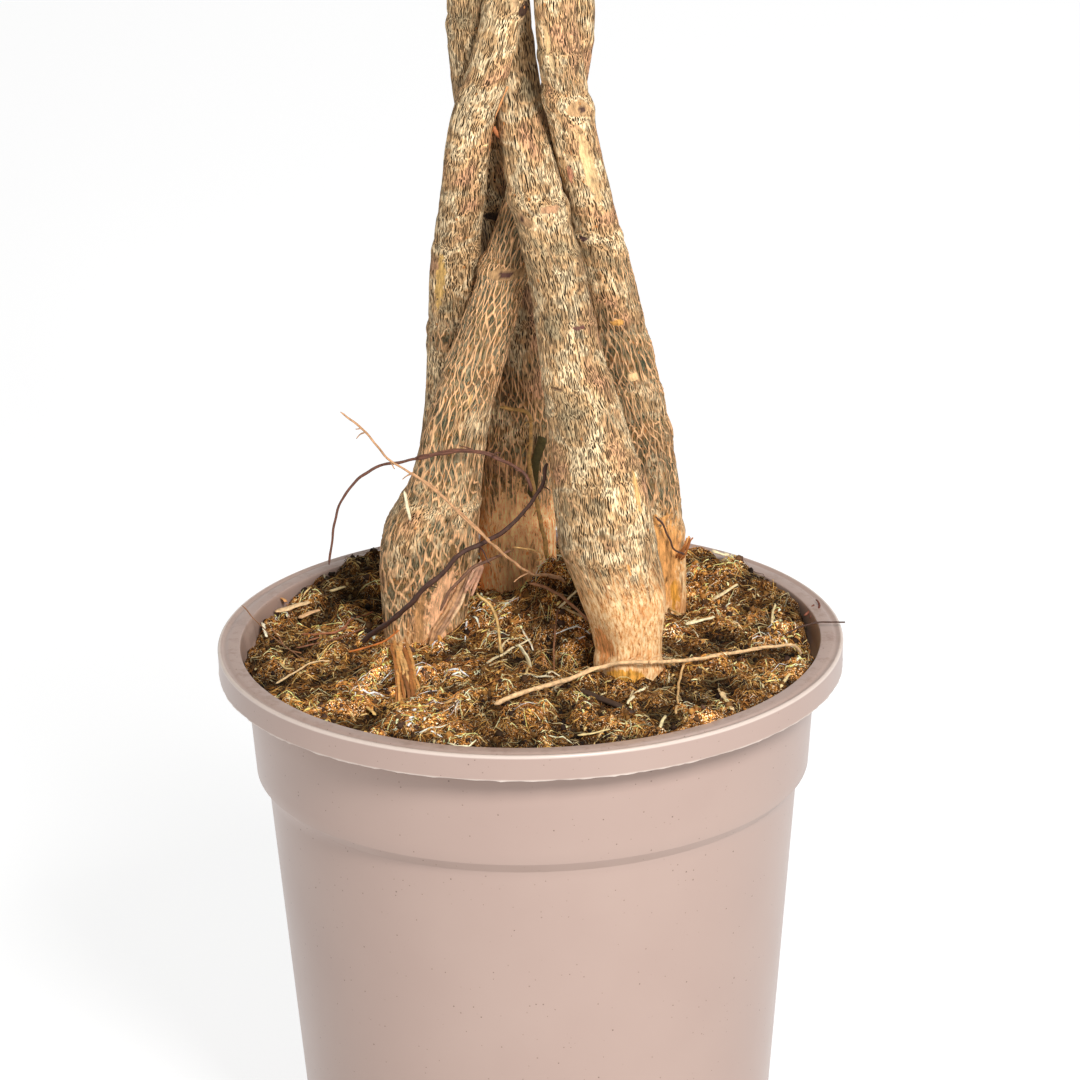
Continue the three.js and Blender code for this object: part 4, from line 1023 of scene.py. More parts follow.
def makeSoil():
    cells = soil["cells"]
    edge = np.linspace(-1, 1, cells + 1)
    u, v = np.meshgrid(edge, edge)
    # a square grid bent to a disc, so that all its cells are alike in size
    wideIsU = np.abs(u) >= np.abs(v)
    reach = np.where(wideIsU, u, v)
    other = np.where(wideIsU, v, u)
    angle = math.pi / 4 * np.divide(other, reach, out=np.zeros_like(u), where=reach != 0)
    # the soil meets the wall about 5 mm below the rim
    limit = innerRadius(potHeight - 5) - soil["gap"]
    x = limit * np.where(wideIsU, reach * np.cos(angle), reach * np.sin(angle))
    y = limit * np.where(wideIsU, reach * np.sin(angle), reach * np.cos(angle))
    z = soilSurface(x, y)
    # the crumb thins out and sinks at the wall
    rim = np.clip((np.hypot(x, y) - limit + soil["wallBand"]) / soil["wallBand"], 0, 1)
    z -= soil["wallDip"] * rim**2
    # where the soil lies low the wall is closer in
    inside = np.minimum(1, (innerRadius(z) - soil["gap"]) / np.maximum(np.hypot(x, y), 1))
    x, y = x * inside, y * inside
    top = np.stack([x, y, z], axis=2).reshape(-1, 3)
    index = np.arange((cells + 1) ** 2).reshape(cells + 1, cells + 1)
    quads = np.stack([index[:-1, :-1], index[:-1, 1:], index[1:, 1:], index[1:, :-1]], axis=-1)
    faces = quads.reshape(-1, 4).tolist()
    border = np.concatenate([index[0, :-1], index[:-1, -1], index[-1, :0:-1], index[:0:-1, 0]])
    count = len(border)
    above, points = border, [top]
    away = top[border, :2] / np.linalg.norm(top[border, :2], axis=1)[:, None]
    for level in soil["wallRows"]:
        # the side of the soil follows the pot's wall down
        ring = np.column_stack([away * (innerRadius(level) - 1.0), np.full(count, level)])
        below = sum(map(len, points)) + np.arange(count)
        faces += np.stack([np.roll(above, -1), above, below, np.roll(below, -1)], axis=1).tolist()
        points.append(ring)
        above = below
    faces.append(above[::-1].tolist())
    tone = np.concatenate([soilToneAndShade(x, y).ravel(), np.ones(count * len(soil["wallRows"]))])
    return makePiece("peatMix", np.vstack(points), faces, soilMaterial, ("soil",), {"tone": tone})


litter = {
    # kind: how many, steps in each, length range, half thickness range, colours, curl, lift off the soil
    "shred": (6800, 3, (1.8, 5.5), (0.10, 0.26),
              ("#7f5129", "#aa7034", "#d29c50", "#2a190b", "#f5d38e", "#553415"), 0.5, 1.3),
    "fleck": (5200, 1, (0.6, 1.6), (0.12, 0.26),
              ("#fae8c6", "#e8c78f", "#b88446", "#28170a", "#d6994e"), 0.0, 0.9),
    "fibre": (1400, 4, (5, 15), (0.08, 0.17), ("#cc9c56", "#e5bd76", "#8f6330", "#f6dea6"), 0.3, 1.8),
    "coir": (640, 5, (12, 30), (0.07, 0.14), ("#935c2e", "#ad7340", "#7c4823"), 0.18, 1.8),
    "straw": (90, 5, (6, 17), (0.25, 0.6), ("#dcc596", "#c9ab75", "#ecdcb6"), 0.12, 0.9),
}
chips = {
    "count": 1300, "length": (1.0, 4.5), "width": (0.4, 1.4), "thick": 0.4,
    "colours": ("#e0bc7a", "#c99c58", "#eed6a0", "#8f6834", "#b67a39"),
}
crumbs = {
    "count": 1600, "size": (0.5, 1.6), "reach": 107.5,
    "colours": ("#33231a", "#46301d", "#5d4022", "#7d5629"),
}
# x, y and radius of each trunk just above the soil
trunkFeet = [trunk["rows"][3][1:] for trunk in trunks.values()]


# Plant threads: grain of the noise per millimetre, its detail and roughness, darkest and lightest
# tone, bump strength and height, and the shader's constants
threadLooks = {
    # loose peat fibre, chips and straw: dry and matt, each piece with its own tint
    "dryPlantFibre": (0.7, 3.0, 0.5, 0.7, 1.2, 0.5, 0.2, {"Roughness": 0.75, "Specular IOR Level": 0.15}),
    # thin woody root: a little glossier, with small knots
    "woodyRoot": (0.55, 5.0, 0.65, 0.55, 1.35, 0.8, 0.35, {"Roughness": 0.7}),
}


def makeThreadMaterial(name):
    scale, detail, rough, darkest, lightest, strength, height, settings = threadLooks[name]
    material, tree, shader = newMaterial(name, settings)
    place = objectMm(tree)
    knots = addNode(tree, "ShaderNodeTexNoise", {"Scale": scale, "Detail": detail, "Roughness": rough},
                    {"Vector": place})
    level = addNode(tree, "ShaderNodeMapRange", {1: 0.3, 2: 0.7, 3: darkest, 4: lightest}, {0: knots})
    colour = addNode(tree, "ShaderNodeVectorMath", {"operation": "SCALE"},
                     {0: trait(tree, "tint", "colour"), "Scale": level})
    joinUp(tree, shader, colour.outputs[0], knots, strength, height)
    return material


def tintAt(chance, colours, x, y):
    # the litter takes the soil's tone, with its painted shade in creases and hollows
    tone = float(soilToneAndShade(np.array([x]), np.array([y]))[0])
    return np.clip(np.array(linear(chance.choice(colours))) * tone * chance.uniform(0.85, 1.5), 0, 0.95)


def soilSpot(chance, limit=soil["litterReach"]):
    # a random place on the soil, clear of the trunks
    while True:
        reach = limit * math.sqrt(chance.random())
        angle = chance.uniform(0, 2 * math.pi)
        x, y = reach * math.cos(angle), reach * math.sin(angle)
        if all(math.hypot(x - footX, y - footY) > radius + 1.5 for footX, footY, radius in trunkFeet):
            return x, y


def layStrand(chance, steps, length, curl, lift):
    # a strand that curls over the soil and is lifted off it in the middle
    x, y = soilSpot(chance)
    heading = chance.uniform(0, 2 * math.pi)
    bend = chance.uniform(-curl, curl)
    xs, ys = [x], [y]
    for _ in range(steps):
        heading += bend + chance.uniform(-0.3, 0.3) * curl
        xs.append(xs[-1] + length / steps * math.cos(heading))
        ys.append(ys[-1] + length / steps * math.sin(heading))
    xs, ys = np.array(xs), np.array(ys)
    pull = np.minimum(1, (soil["litterReach"] + 1.5) / np.maximum(np.hypot(xs, ys), 1e-6))
    xs, ys = xs * pull, ys * pull
    hump = np.sin(np.linspace(0, math.pi, steps + 1))
    z = soilSurface(xs, ys) + chance.uniform(-0.2, lift) * hump + chance.uniform(-0.3, 0.35)
    return np.stack([xs, ys, z], axis=1)


def makeStrands():
    for kind, (count, steps, lengths, thickness, colours, curl, lift) in litter.items():
        chance = random.Random(f"litter {kind}")
        bundle = newBundle("tint")
        for _ in range(count):
            path = layStrand(chance, steps, chance.uniform(*lengths), curl, lift)
            taper = np.interp(np.linspace(0, 1, steps + 1), [0, 0.2, 0.7, 1], [0.5, 1, 0.9, 0.3])
            points, faces = tube(path, chance.uniform(*thickness) * taper, 3)
            addTo(bundle, points, faces, tint=tintAt(chance, colours, *path[steps // 2][:2]))
        bundlePiece(f"soil_{kind}", bundle, litterMaterial)


def makeChips():
    # flat chips of wood that lie tilted on the soil
    chance = random.Random("chips")
    bundle = newBundle("tint")
    for _ in range(chips["count"]):
        x, y = soilSpot(chance)
        length, width = chance.uniform(*chips["length"]), chance.uniform(*chips["width"])
        heading = chance.uniform(0, math.pi)
        path = np.array([(x + s * length * math.cos(heading), y + s * length * math.sin(heading), 0)
                         for s in (-0.5, -0.2, 0.25, 0.5)])
        path[:, 2] = soilSurface(np.array([x]), np.array([y]))[0] + np.array([0.1, 0.5, 0.6, 0.3])
        path[:, 2] += chance.uniform(-0.12, 0.12) * length * np.array([-1, -0.3, 0.4, 1])
        points, faces = tube(path, np.array([0.35, 1, 0.9, 0.2]) * width / 2, 4, chips["thick"])
        addTo(bundle, points, faces, tint=tintAt(chance, chips["colours"], x, y))
    bundlePiece("soil_chips", bundle, litterMaterial)


def makeCrumbs():
    # uneven crumbs of peat, half sunk in the soil
    chance = random.Random("crumbs")
    bundle = newBundle("tint")
    for _ in range(crumbs["count"]):
        x, y = soilSpot(chance, crumbs["reach"])
        size = chance.uniform(*crumbs["size"]) * chance.uniform(0.6, 1)
        z = soilSurface(np.array([x]), np.array([y]))[0] + 0.3 * size
        path = np.array([(x, y, z - 0.7 * size), (x, y, z), (x, y, z + 0.7 * size)])
        path[:, :2] += [[chance.uniform(-0.3, 0.3) * size, chance.uniform(-0.3, 0.3) * size]
                        for _ in range(3)]
        points, faces = tube(path, np.array([0.6, 1, 0.55]) * size, 5)
        points = points + np.array([[chance.uniform(-0.4, 0.4) * size for _ in range(3)] for _ in points])
        addTo(bundle, points, faces, tint=tintAt(chance, crumbs["colours"], x, y))
    bundlePiece("soil_crumbs", bundle, litterMaterial)


soilMaterial = makeSoilMaterial()
litterMaterial = makeThreadMaterial("dryPlantFibre")
makeSoil()
makeStrands()
makeChips()
makeCrumbs()
print("soil made")

# Loose roots: routes as (x, y, height above the rim), radius at the start and the end, and colour
rootRoutes = {
    "root_pale": [(0.38, 0.66, "#bb8c62", [
        (-70, -18, 100), (-61, -18, 92), (-53, -19, 82), (-44, -19, 75), (-36, -19, 69), (-27, -20, 60),
        (-20, -22, 54), (-15, -24, 49), (-9, -20, 42), (0, -12, 31.5), (7, -6, 28), (12, 0, 24),
        (17, 8, 16), (19, 14, 6), (20, 18, -6)])],
    "root_dark": [
        (0.45, 0.7, "#643d2c", [
            (-76, -14, 37), (-72, -14, 60), (-63, -14, 72.5), (-54, -14, 77), (-42, -14, 79),
            (-30, -15, 82), (-20, -16, 82.5), (-13, -17, 81), (-6, -18, 77.5), (-1, -20, 74.5),
            (1.5, -21, 68)]),
        (0.8, 1.05, "#4b2f24", [
            (7.5, -25, 80.5), (5, -22.5, 70), (-2, -20, 58.5), (-10.5, -19, 50), (-19, -19, 45.5),
            (-27, -20, 42), (-33, -20, 34.5), (-40, -20, 29), (-46, -17, 21), (-54, -9, 11),
            (-62, 0, 2), (-68, 6, -6), (-71, 10, -14)]),
    ],
    "root_straw": [(0.7, 1.0, "#cfa160", [
        (-10, 22, 86.5), (-5, 22, 85.5), (0, 21, 84.5), (2, 21, 81), (1.5, 22, 73), (1, 22, 62),
        (4, 23, 44), (7, 25, 26), (9, 26, 8), (10, 26, -10)])],
    "root_long": [(0.95, 0.55, "#dfb584", [
        (-14, -71, 1.4), (-5, -65.5, 3), (4, -60, 3.6), (10, -56, 3.8), (17, -52, 4.4), (27, -51, 8),
        (36, -51.5, 9.5), (44, -50, 9), (61, -38, 5), (76, -24, 2), (90, -14, 0), (101, -10, -1),
        (104, -8, -8)])],
}
# how every root is drawn: length of a step, sides, swelling and size of its knots, and how it wanders
rootForm = {
    "step": 1.6, "sides": 8, "knots": ((0.16, 5), (0.12, 2)), "wander": 0.6, "wanderSize": 6, "tip": 0.4,
    # threads of loose skin on each root, and radii of those and of the side roots
    "skinThreads": 3, "skinRadii": (0.45, 0.25), "sideRadii": (0.35, 0.18),
}
# Small bits that lie on the soil or the bark: name, width, thickness share, colour, route above the rim
oddments = [
    ("rimFibre", 0.5, 1, "#8a5f3e", [(-111, 18, 9), (-104, 10, 4), (-96, -2, 1), (-86, -16, -1)]),
    ("rimTwig", 0.7, 1, "#4a3024", [(98, 0, 0), (106, 3, 2), (113, 5, 2.5), (121, 6, 2)]),
    ("barkChunk", 5.0, 0.5, "#3f2b1e", [(14, -58, 0), (20, -61, 1.4), (28, -68, 0.8), (38, -77, -1)]),
    ("paleSliver", 2.4, 0.4, "#e9dcb4", [(0, -40, 2), (-1, -42, 7), (-3, -44, 12), (-4.5, -45, 15)]),
    ("trunkSliver", 2.6, 0.5, "#efe3bd",
     [(-46.9, -9, 64.5), (-46.2, -9.6, 60.8), (-45.4, -9.8, 56.8), (-44.9, -9.6, 53.5)]),
    ("sliverTip", 1.6, 0.5, "#efe3bd", [(-46.4, -9.8, 61), (-45.5, -10.2, 57), (-44.8, -10, 53)]),
    ("redRootlet", 1.4, 1, "#6e4a34",
     [(-34, -26, 22), (-30.6, -24, 28.9), (-26.3, -22, 33.3), (-20.6, -20, 37.3), (-14, -18, 40.1),
      (-7.2, -15, 41.8)]),
    ("curledStraw", 1.1, 0.7, "#cfa262",
     [(-6, -8, 40.5), (-0.5, -8, 40), (3.6, -8, 38.5), (5.6, -8, 36), (3, -8.5, 35)]),
    ("lowRootlet", 1.3, 1, "#a06f4c", [(0, -6, 25), (6, -8, 24), (14, -12, 20), (22, -18, 14)]),
    ("forkRoot", 1.0, 1, "#c39a6c",
     [(14, -52, 3), (6, -57, 0.5), (-3, -60, -1), (-9, -58, -1), (-17, -56, 0)]),
    ("hangRoot", 1.0, 1, "#c8a06a",
     [(58, -36, 4), (57, -42, 1.5), (56, -50, 0.3), (55, -64, 0.2), (54, -80, 0)]),
    ("thinRoot", 0.9, 1, "#4f3226", [(49, 24, 40), (52, 25, 36), (54, 26, 30), (56, 28, 25), (60, 30, 22)]),
    ("scarChip", 3.2, 0.4, "#c98d3f", [(-6.8, -3, 210), (-6.5, -3.4, 204), (-6.3, -4.4, 197)]),
    ("scarCrumb", 2.4, 0.8, "#b06c3e", [(-10.6, -6, 207.5), (-9.2, -6, 205), (-7.4, -5, 203)]),
    ("scarPeel", 1.8, 0.5, "#cf8f58", [(-10.9, -12, 211.5), (-7.8, -12.4, 219.1), (-4.9, -12, 225.3)]),
    ("oliveSliver", 4.2, 0.3, "#5a5128", [(1.5, 34, 45), (2.5, 32, 54), (4, 31, 63), (6, 30, 71)]),
    ("orangeFibre", 0.8, 1, "#c9722f", [(-70, -6, -2), (-62, -8, 1), (-56, -10, 4), (-50, -12, 9)]),
    ("headFibre", 1.2, 1, "#caa263", [(-20, -18, 26), (-14, -20, 20), (-12, -22, 12), (-11, -25, 4)]),
]
# Straws and wood chips that show on the soil: width, thickness share, colour, lift, route over the soil
straws = [
    (1.3, 0.6, "#dcc79c", 1.5, [(-17, -34), (-9, -24), (0, -17)]),
    (1.1, 0.6, "#d3b98a", 1.2, [(-17, -36), (-9, -31)]),
    (0.9, 0.7, "#e8dcc0", 1.5, [(-3, -11), (1, -24)]), (1.4, 0.6, "#e3cfa4", 2.5, [(11, -8), (18, -3)]),
    (0.8, 1.0, "#8a5a3a", 2.0, [(11, -8), (9, -17), (9, -33)]),
    (1.6, 0.7, "#c9a878", 2.5, [(12, -8), (19, -10), (25, -11)]),
    (1.5, 0.5, "#e6d8ae", 1.6, [(36, -71), (39, -62), (43, -55)]),
    (1.4, 0.5, "#dcc288", 1.6, [(17, -97), (29, -93)]),
    (1.6, 0.5, "#e2cf9c", 1.6, [(47, -96), (50, -83)]), (1.0, 0.6, "#d9c294", 1.2, [(-12, -22), (-8, -14)]),
    (4.2, 0.3, "#eedbb0", 1.0, [(72, 76), (78, 80)]), (2.6, 0.35, "#e8d2a2", 3.4, [(71, 41), (81, 46)]),
    (2.2, 0.4, "#f0e0b4", 2.6, [(60, 12), (66, 17), (71, 21)]),
    (1.2, 0.5, "#ecd9ac", 3.4, [(60, 10), (64, 18)]),
    (1.8, 0.6, "#c9a468", 3.0, [(54, 34), (58, 24)]), (1.1, 0.6, "#d8c08c", 3.0, [(93, 11), (95, 29)]),
    (3.0, 0.35, "#d5b685", 1.6, [(71, -55), (73, -66), (75, -77)]),
    (1.3, 0.5, "#e3c98f", 1.6, [(94, -54), (100, -31)]),
    (1.0, 1.0, "#6a3524", 5.0, [(108, 22), (112, 27), (111, 33)]),
    (1.2, 1.0, "#7c4630", 4.0, [(106, 24), (110, 30)]),
    (4.0, 0.35, "#e3bd8c", 3.0, [(-99, 45), (-92, 48), (-86, 50)]),
    (2.6, 0.4, "#d59a5e", 3.4, [(-99, 58), (-95, 51)]),
    (3.2, 0.3, "#d8a878", 3.2, [(-90, 42), (-82, 46)]), (1.7, 0.5, "#efe4c6", 3.6, [(-104, 35), (-102, 22)]),
    (0.9, 0.9, "#dcb989", 2.4, [(-97, -29), (-88, -16), (-81, -10), (-77, -12)]),
    (2.8, 0.35, "#dcc08a", 2.4, [(-78, 56), (-72, 58)]),
    (2.4, 0.4, "#ddb46c", 1.8, [(-68, -51), (-63, -59), (-59, -70)]),
    (1.0, 1.0, "#a0623f", 3.0, [(-89, 23), (-75, 18), (-69, 30), (-61, 36)]),
    (0.7, 1.0, "#9a6242", 2.6, [(-86, 14), (-76, 20), (-66, 24)]),
    (0.7, 1.0, "#8f5a3c", 2.2, [(-90, 8), (-78, 10), (-64, 20)]),
    (0.6, 1.0, "#b0764e", 2.4, [(-109, 50), (-101, 33), (-93, 7), (-88, 0)]),
]
# Frayed pieces of bark, each a few thin strips side by side: strips, strip width, spread,
# colours, route above the rim
frays = {
    "barkStub": (11, 2.3, 8.5, ("#b9783a", "#cf9350", "#8a5528", "#dba868", "#a4662f"),
                 [(-50, -8, 2), (-49.5, -18, 3), (-48.5, -30, 2), (-47, -44, 0), (-46, -55, -5)]),
    "barkFlap": (5, 1.9, 4.0, ("#c49468", "#966a48", "#dab48a", "#ac8260"),
                 [(-22, 2, 29), (-25, -2, 23), (-31, -5.5, 12), (-36, -6.5, 4), (-38, -7, -6)]),
    "flapTop": (4, 2.0, 4.0, ("#d2a284", "#c08f70", "#dcb595"),
                [(-18, 1, 31), (-21, -1, 26), (-24, -4, 21)]),
    "orangeStub": (5, 1.3, 2.2, ("#c2803f", "#a5622c", "#d69a5a"),
                   [(58, 34, 19), (60.5, 33, 23.5), (62.5, 33, 28)]),
    "peel": (3, 2.0, 2.4, ("#c98650", "#dba56c"), [(-14, 4, 204), (-13.5, 3, 200), (-12.5, 2, 196)]),
}


def rootTube(route, startRadius, endRadius, seed, squeeze=1.0):
    path = np.array(route, dtype=float) + [0, 0, potHeight]
    length = np.linalg.norm(np.diff(path, axis=0), axis=1).sum()
    steps = int(max(8, length / rootForm["step"]))
    path = smoothPath(path, steps)
    knots = 1
    for k, (swelling, size) in enumerate(rootForm["knots"]):
        knots = knots + swelling * noiseAt(path, size, seed + k)
    radii = np.linspace(startRadius, endRadius, steps + 1) * knots
    radii[0] *= rootForm["tip"]
    middle = path[1:-1]
    bends = [noiseAt(middle, rootForm["wanderSize"], seed + k) for k in (2, 3, 4)]
    path[1:-1] += rootForm["wander"] * np.stack(bends, axis=1)
    return tube(path, radii, rootForm["sides"], squeeze)


def makeRoots():
    for name, strands in rootRoutes.items():
        bundle = newBundle("tint")
        chance = random.Random(name)
        for startRadius, endRadius, colour, route in strands:
            points, faces = rootTube(route, startRadius, endRadius, chance.uniform(1, 50))
            addTo(bundle, points, faces, tint=linear(colour))
            # loose skin clings along the root in thin threads
            for _ in range(rootForm["skinThreads"]):
                first = chance.randrange(0, len(route) - 3)
                part = np.array(route[first : first + chance.randrange(3, 6)], dtype=float)
                part += [chance.uniform(-0.5, 0.5), chance.uniform(-0.5, 0.2), chance.uniform(-0.3, 0.7)]
                points, faces = rootTube(part.tolist(), *rootForm["skinRadii"], chance.uniform(1, 50))
                addTo(bundle, points, faces, tint=np.array(linear(colour)) * chance.uniform(0.7, 1.3))
            # hair-fine side roots
            for _ in range(len(route) // 2):
                start = np.array(route[chance.randrange(1, len(route) - 1)], dtype=float)
                step = np.array([chance.uniform(-1, 1), chance.uniform(-1, 1), chance.uniform(-0.6, 0.8)])
                reach = chance.uniform(2, 5)
                side = [start, start + reach * step, start + 2 * reach * step + [0, 0, -1]]
                points, faces = rootTube(side, *rootForm["sideRadii"], chance.uniform(1, 50))
                addTo(bundle, points, faces, tint=linear(colour))
        bundlePiece(f"{name}_strand", bundle, rootMaterial, (name,))


def makeOddments():
    for name, width, squeeze, colour, route in oddments:
        bundle = newBundle("tint")
        points, faces = rootTube(route, width / 2, width / 2.4, len(name), squeeze)
        addTo(bundle, points, faces, tint=linear(colour))
        bundlePiece(name, bundle, rootMaterial)


def makeStraws():
    bundle = newBundle("tint")
    chance = random.Random("straws")
    for width, squeeze, colour, lift, spots in straws:
        spots = np.array(spots, dtype=float)
        heights = soilLevel(spots[:, 0], spots[:, 1]) - potHeight + lift * 0.6 + 0.3
        points, faces = rootTube(np.column_stack([spots, heights]).tolist(), width / 2, width / 3,
                                 chance.uniform(1, 50), squeeze)
        addTo(bundle, points, faces, tint=linear(colour))
    bundlePiece("soil_bits", bundle, rootMaterial)


def makeFrays():
    for name, (count, width, spread, colours, route) in frays.items():
        chance = random.Random(name)
        bundle = newBundle("tint")
        route = np.array(route, dtype=float)
        along = route[-1] - route[0]
        sideways = np.cross(along, [0.2, -1, 0.5])
        sideways /= np.linalg.norm(sideways)
        for k in range(count):
            fan = np.linspace(0.75, 1.1, len(route))[:, None]
            shift = sideways * spread * ((k + 0.5) / count - 0.5) * fan
            loose = np.array([[chance.uniform(-0.5, 0.5) for _ in range(3)] for _ in route])
            strip = route + shift + loose + along * chance.uniform(-0.07, 0.07)
            half = width / 2 * chance.uniform(0.6, 1.1)
            points, faces = rootTube(strip.tolist(), half, half * 0.6, chance.uniform(1, 50),
                                     chance.uniform(0.3, 0.6))
            addTo(bundle, points, faces, tint=linear(chance.choice(colours)))
        bundlePiece(name, bundle, rootMaterial)


rootMaterial = makeThreadMaterial("woodyRoot")
makeRoots()
makeOddments()
makeStraws()
makeFrays()
print("roots made")

# Crown: a green shoot on the sawn top of each trunk, with palmate leaves set round it in turn.
# turn is the compass angle that a shoot leans to, lean how far it leans for its length.
shoots = {
    "left": {"turn": 190, "lean": 0.28, "length": 250, "leaves": 6},
    "front": {"turn": 20, "lean": 0.26, "length": 270, "leaves": 6},
    "right": {"turn": 262, "lean": 0.08, "length": 310, "leaves": 8},
    "back": {"turn": -55, "lean": 0.29, "length": 245, "leaves": 6},
    "back_left": {"turn": 118, "lean": 0.3, "length": 240, "leaves": 6},
}
crown = {
    # shoots: play on the sawn top, radius at foot and tip, how far they lean out and lose height
    "fit": 0.35, "shootRadius": 4.7, "shootTip": 2.6, "bend": (0.6, 0.7), "slack": 0.1,
    # places of the leaves along a shoot and round it, in degrees, with play that grows with each try
    "firstShare": 0.26, "shareSpan": 0.71, "goldenTurn": 137.5, "turnPlay": 110, "rise": (14, 50),
    "risePlay": 24, "rollPlay": 30, "looserAfter": 150, "tries": 400, "matchWithin": 0.3, "seed": 2468,
    # lengths at the shoot's foot, how much shorter they are at its tip, and their play
    "stalkLength": (178, 72, 50), "leafletLength": (152, 42, 18),
    # leaves of five leaflets from this share on, and the angle between leaflets
    "fiveFrom": 0.66, "gaps": {5: 54, 7: 45}, "outerLoss": 0.4,
    # stalk and blade
    "droop": 24, "pitchShare": 0.42, "stalkFoot": 2.4, "seat": 0.93, "hubReach": 4,
    "bladeDroop": (0.14, -0.36), "bladeSlack": 0.1, "leastHalf": 1.2, "widthShare": 0.31, "skew": 1.4,
    "fold": 14, "rows": 26, "quilt": 0.42, "thick": 0.5, "wave": 1.5, "veinSlant": 0.55,
    "edgeThin": 0.22, "ribSink": 0.35, "ribDepth": 0.75,
    # columns of a blade, and its width's share along it
    "columns": (-1, -0.68, -0.36, -0.09, 0, 0.09, 0.36, 0.68, 1),
    "outline": ((0, 0.05, 0.12, 0.93, 0.97, 1), (0.75, 0.8, 1, 1, 0.7, 0.25)),
    # stalk radius along its length, and the knuckle that the leaflets meet in as lift and radius
    "stalkForm": ((0, 0.03, 0.08, 0.3, 0.62, 0.94, 0.98, 1), (2.2, 2.4, 1.9, 1.5, 1.45, 1.6, 2.3, 2.5)),
    "knuckle": ((-2.6, 1.6), (-2.0, 3.1), (-0.8, 4.2), (0.8, 4.2), (1.8, 2.8), (2.2, 1.0)),
    # callus on the sawn top, swelling at each leaf and at each old scar: radius, spread as a share
    "callus": (1.1, 0.018), "node": (0.55, 0.012), "scar": (0.35, 0.006),
    "oldScars": (0.07, 0.12, 0.17, 0.22), "budLength": 14, "budRadius": 2.9, "budScales": 4,
    "top": "#27561a", "topLight": "#4f7f2b", "under": "#6b8b4d", "vein": "#8fae5c", "stalk": "#6f8f3e",
    "shoot": "#7b8650", "shootBark": "#8d7a55",
}


def drawer(start):
    # the same run of numbers that sets the CAD leaves
    state = [start]

    def draw():
        state[0] = state[0] * 16807 % 2147483647
        return state[0] / 2147483647

    return draw


def shootPoint(place, share):
    shoot = shoots[place]
    x, y, _ = between(trunks[place]["rows"], trunks[place]["top"])
    out = shoot["length"] * shoot["lean"] * (crown["bend"][0] * share + crown["bend"][1] * share**2)
    up = shoot["length"] * (share - crown["slack"] * share**2)
    turn = math.radians(shoot["turn"])
    return np.array([x + out * math.cos(turn), y + out * math.sin(turn),
                     potHeight + trunks[place]["top"] + crown["fit"] + up])


def heading(turn, rise):
    turn, rise = math.radians(turn), math.radians(rise)
    return np.array([math.cos(rise) * math.cos(turn), math.cos(rise) * math.sin(turn), math.sin(rise)])


def leafPlan(place, number, tries, draw):
    shoot = shoots[place]
    loose = 1 + tries / crown["looserAfter"]
    share = crown["firstShare"] + crown["shareSpan"] * number / (shoot["leaves"] - 1)
    turn = shoot["turn"] + crown["goldenTurn"] * number + crown["turnPlay"] * loose * (draw() - 0.5)
    rise = crown["rise"][0] + crown["rise"][1] * share + crown["risePlay"] * loose * (draw() - 0.5)
    lengths = []
    for longest, shorter, play in (crown["stalkLength"], crown["leafletLength"]):
        lengths.append(longest - shorter * share + play * (draw() - 0.5))
    roll = crown["rollPlay"] * (draw() - 0.5)
    foot = shootPoint(place, share)
    stem = foot - shootPoint(place, share - 0.02)
    return {
        "turn": turn, "rise": rise, "stalkLength": lengths[0], "leafletLength": lengths[1], "roll": roll,
        "leaflets": 7 if share < crown["fiveFrom"] else 5, "share": share,
        "foot": foot, "stem": stem / np.linalg.norm(stem),
        "stemRadius": crown["shootRadius"] + share * (crown["shootTip"] - crown["shootRadius"]),
    }


def stalkPoint(plan, share):
    start = heading(plan["turn"], plan["rise"])
    end = heading(plan["turn"], plan["rise"] - crown["droop"])
    outward = heading(plan["turn"], 0)
    outward = outward - plan["stem"] * outward.dot(plan["stem"])
    outward /= np.linalg.norm(outward)
    skew = math.sqrt(1 - start.dot(outward) ** 2)
    reach = crown["seat"] * (plan["stemRadius"] + crown["stalkFoot"] * skew) + 0.5 * crown["fit"]
    length = plan["stalkLength"]
    rising = start * length * (share - 0.5 * share**2)
    return plan["foot"] + outward * reach + rising + end * length * 0.5 * share**2


def leafAxes(plan):
    pitch = -(90 - (plan["rise"] - crown["droop"])) * crown["pitchShare"]
    out = heading(plan["turn"], pitch)
    level = np.array([-math.sin(math.radians(plan["turn"])), math.cos(math.radians(plan["turn"])), 0])
    roll = math.radians(plan["roll"])
    side = level * math.cos(roll) + np.cross(out, level) * math.sin(roll)
    return out, side, np.cross(out, side)


def leafletFrame(plan, axes, index):
    out, side, up = axes
    middle = (plan["leaflets"] - 1) / 2
    angle = math.radians((index - middle) * crown["gaps"][plan["leaflets"]])
    length = plan["leafletLength"] * (1 - crown["outerLoss"] * (abs(index - middle) / middle) ** 1.6)
    along = out * math.cos(angle) + side * math.sin(angle)
    return along, np.cross(up, along), up, length


def leafletPoint(hub, axesOfLeaflet, share, across, lift):
    along, cross, up, length = axesOfLeaflet
    droop = crown["bladeDroop"][0] * share + crown["bladeDroop"][1] * share**2
    fold = abs(across) * math.tan(math.radians(crown["fold"]))
    return (hub + along * (length * (share - crown["bladeSlack"] * share**2))
            + up * (length * droop + lift + fold) + cross * across)


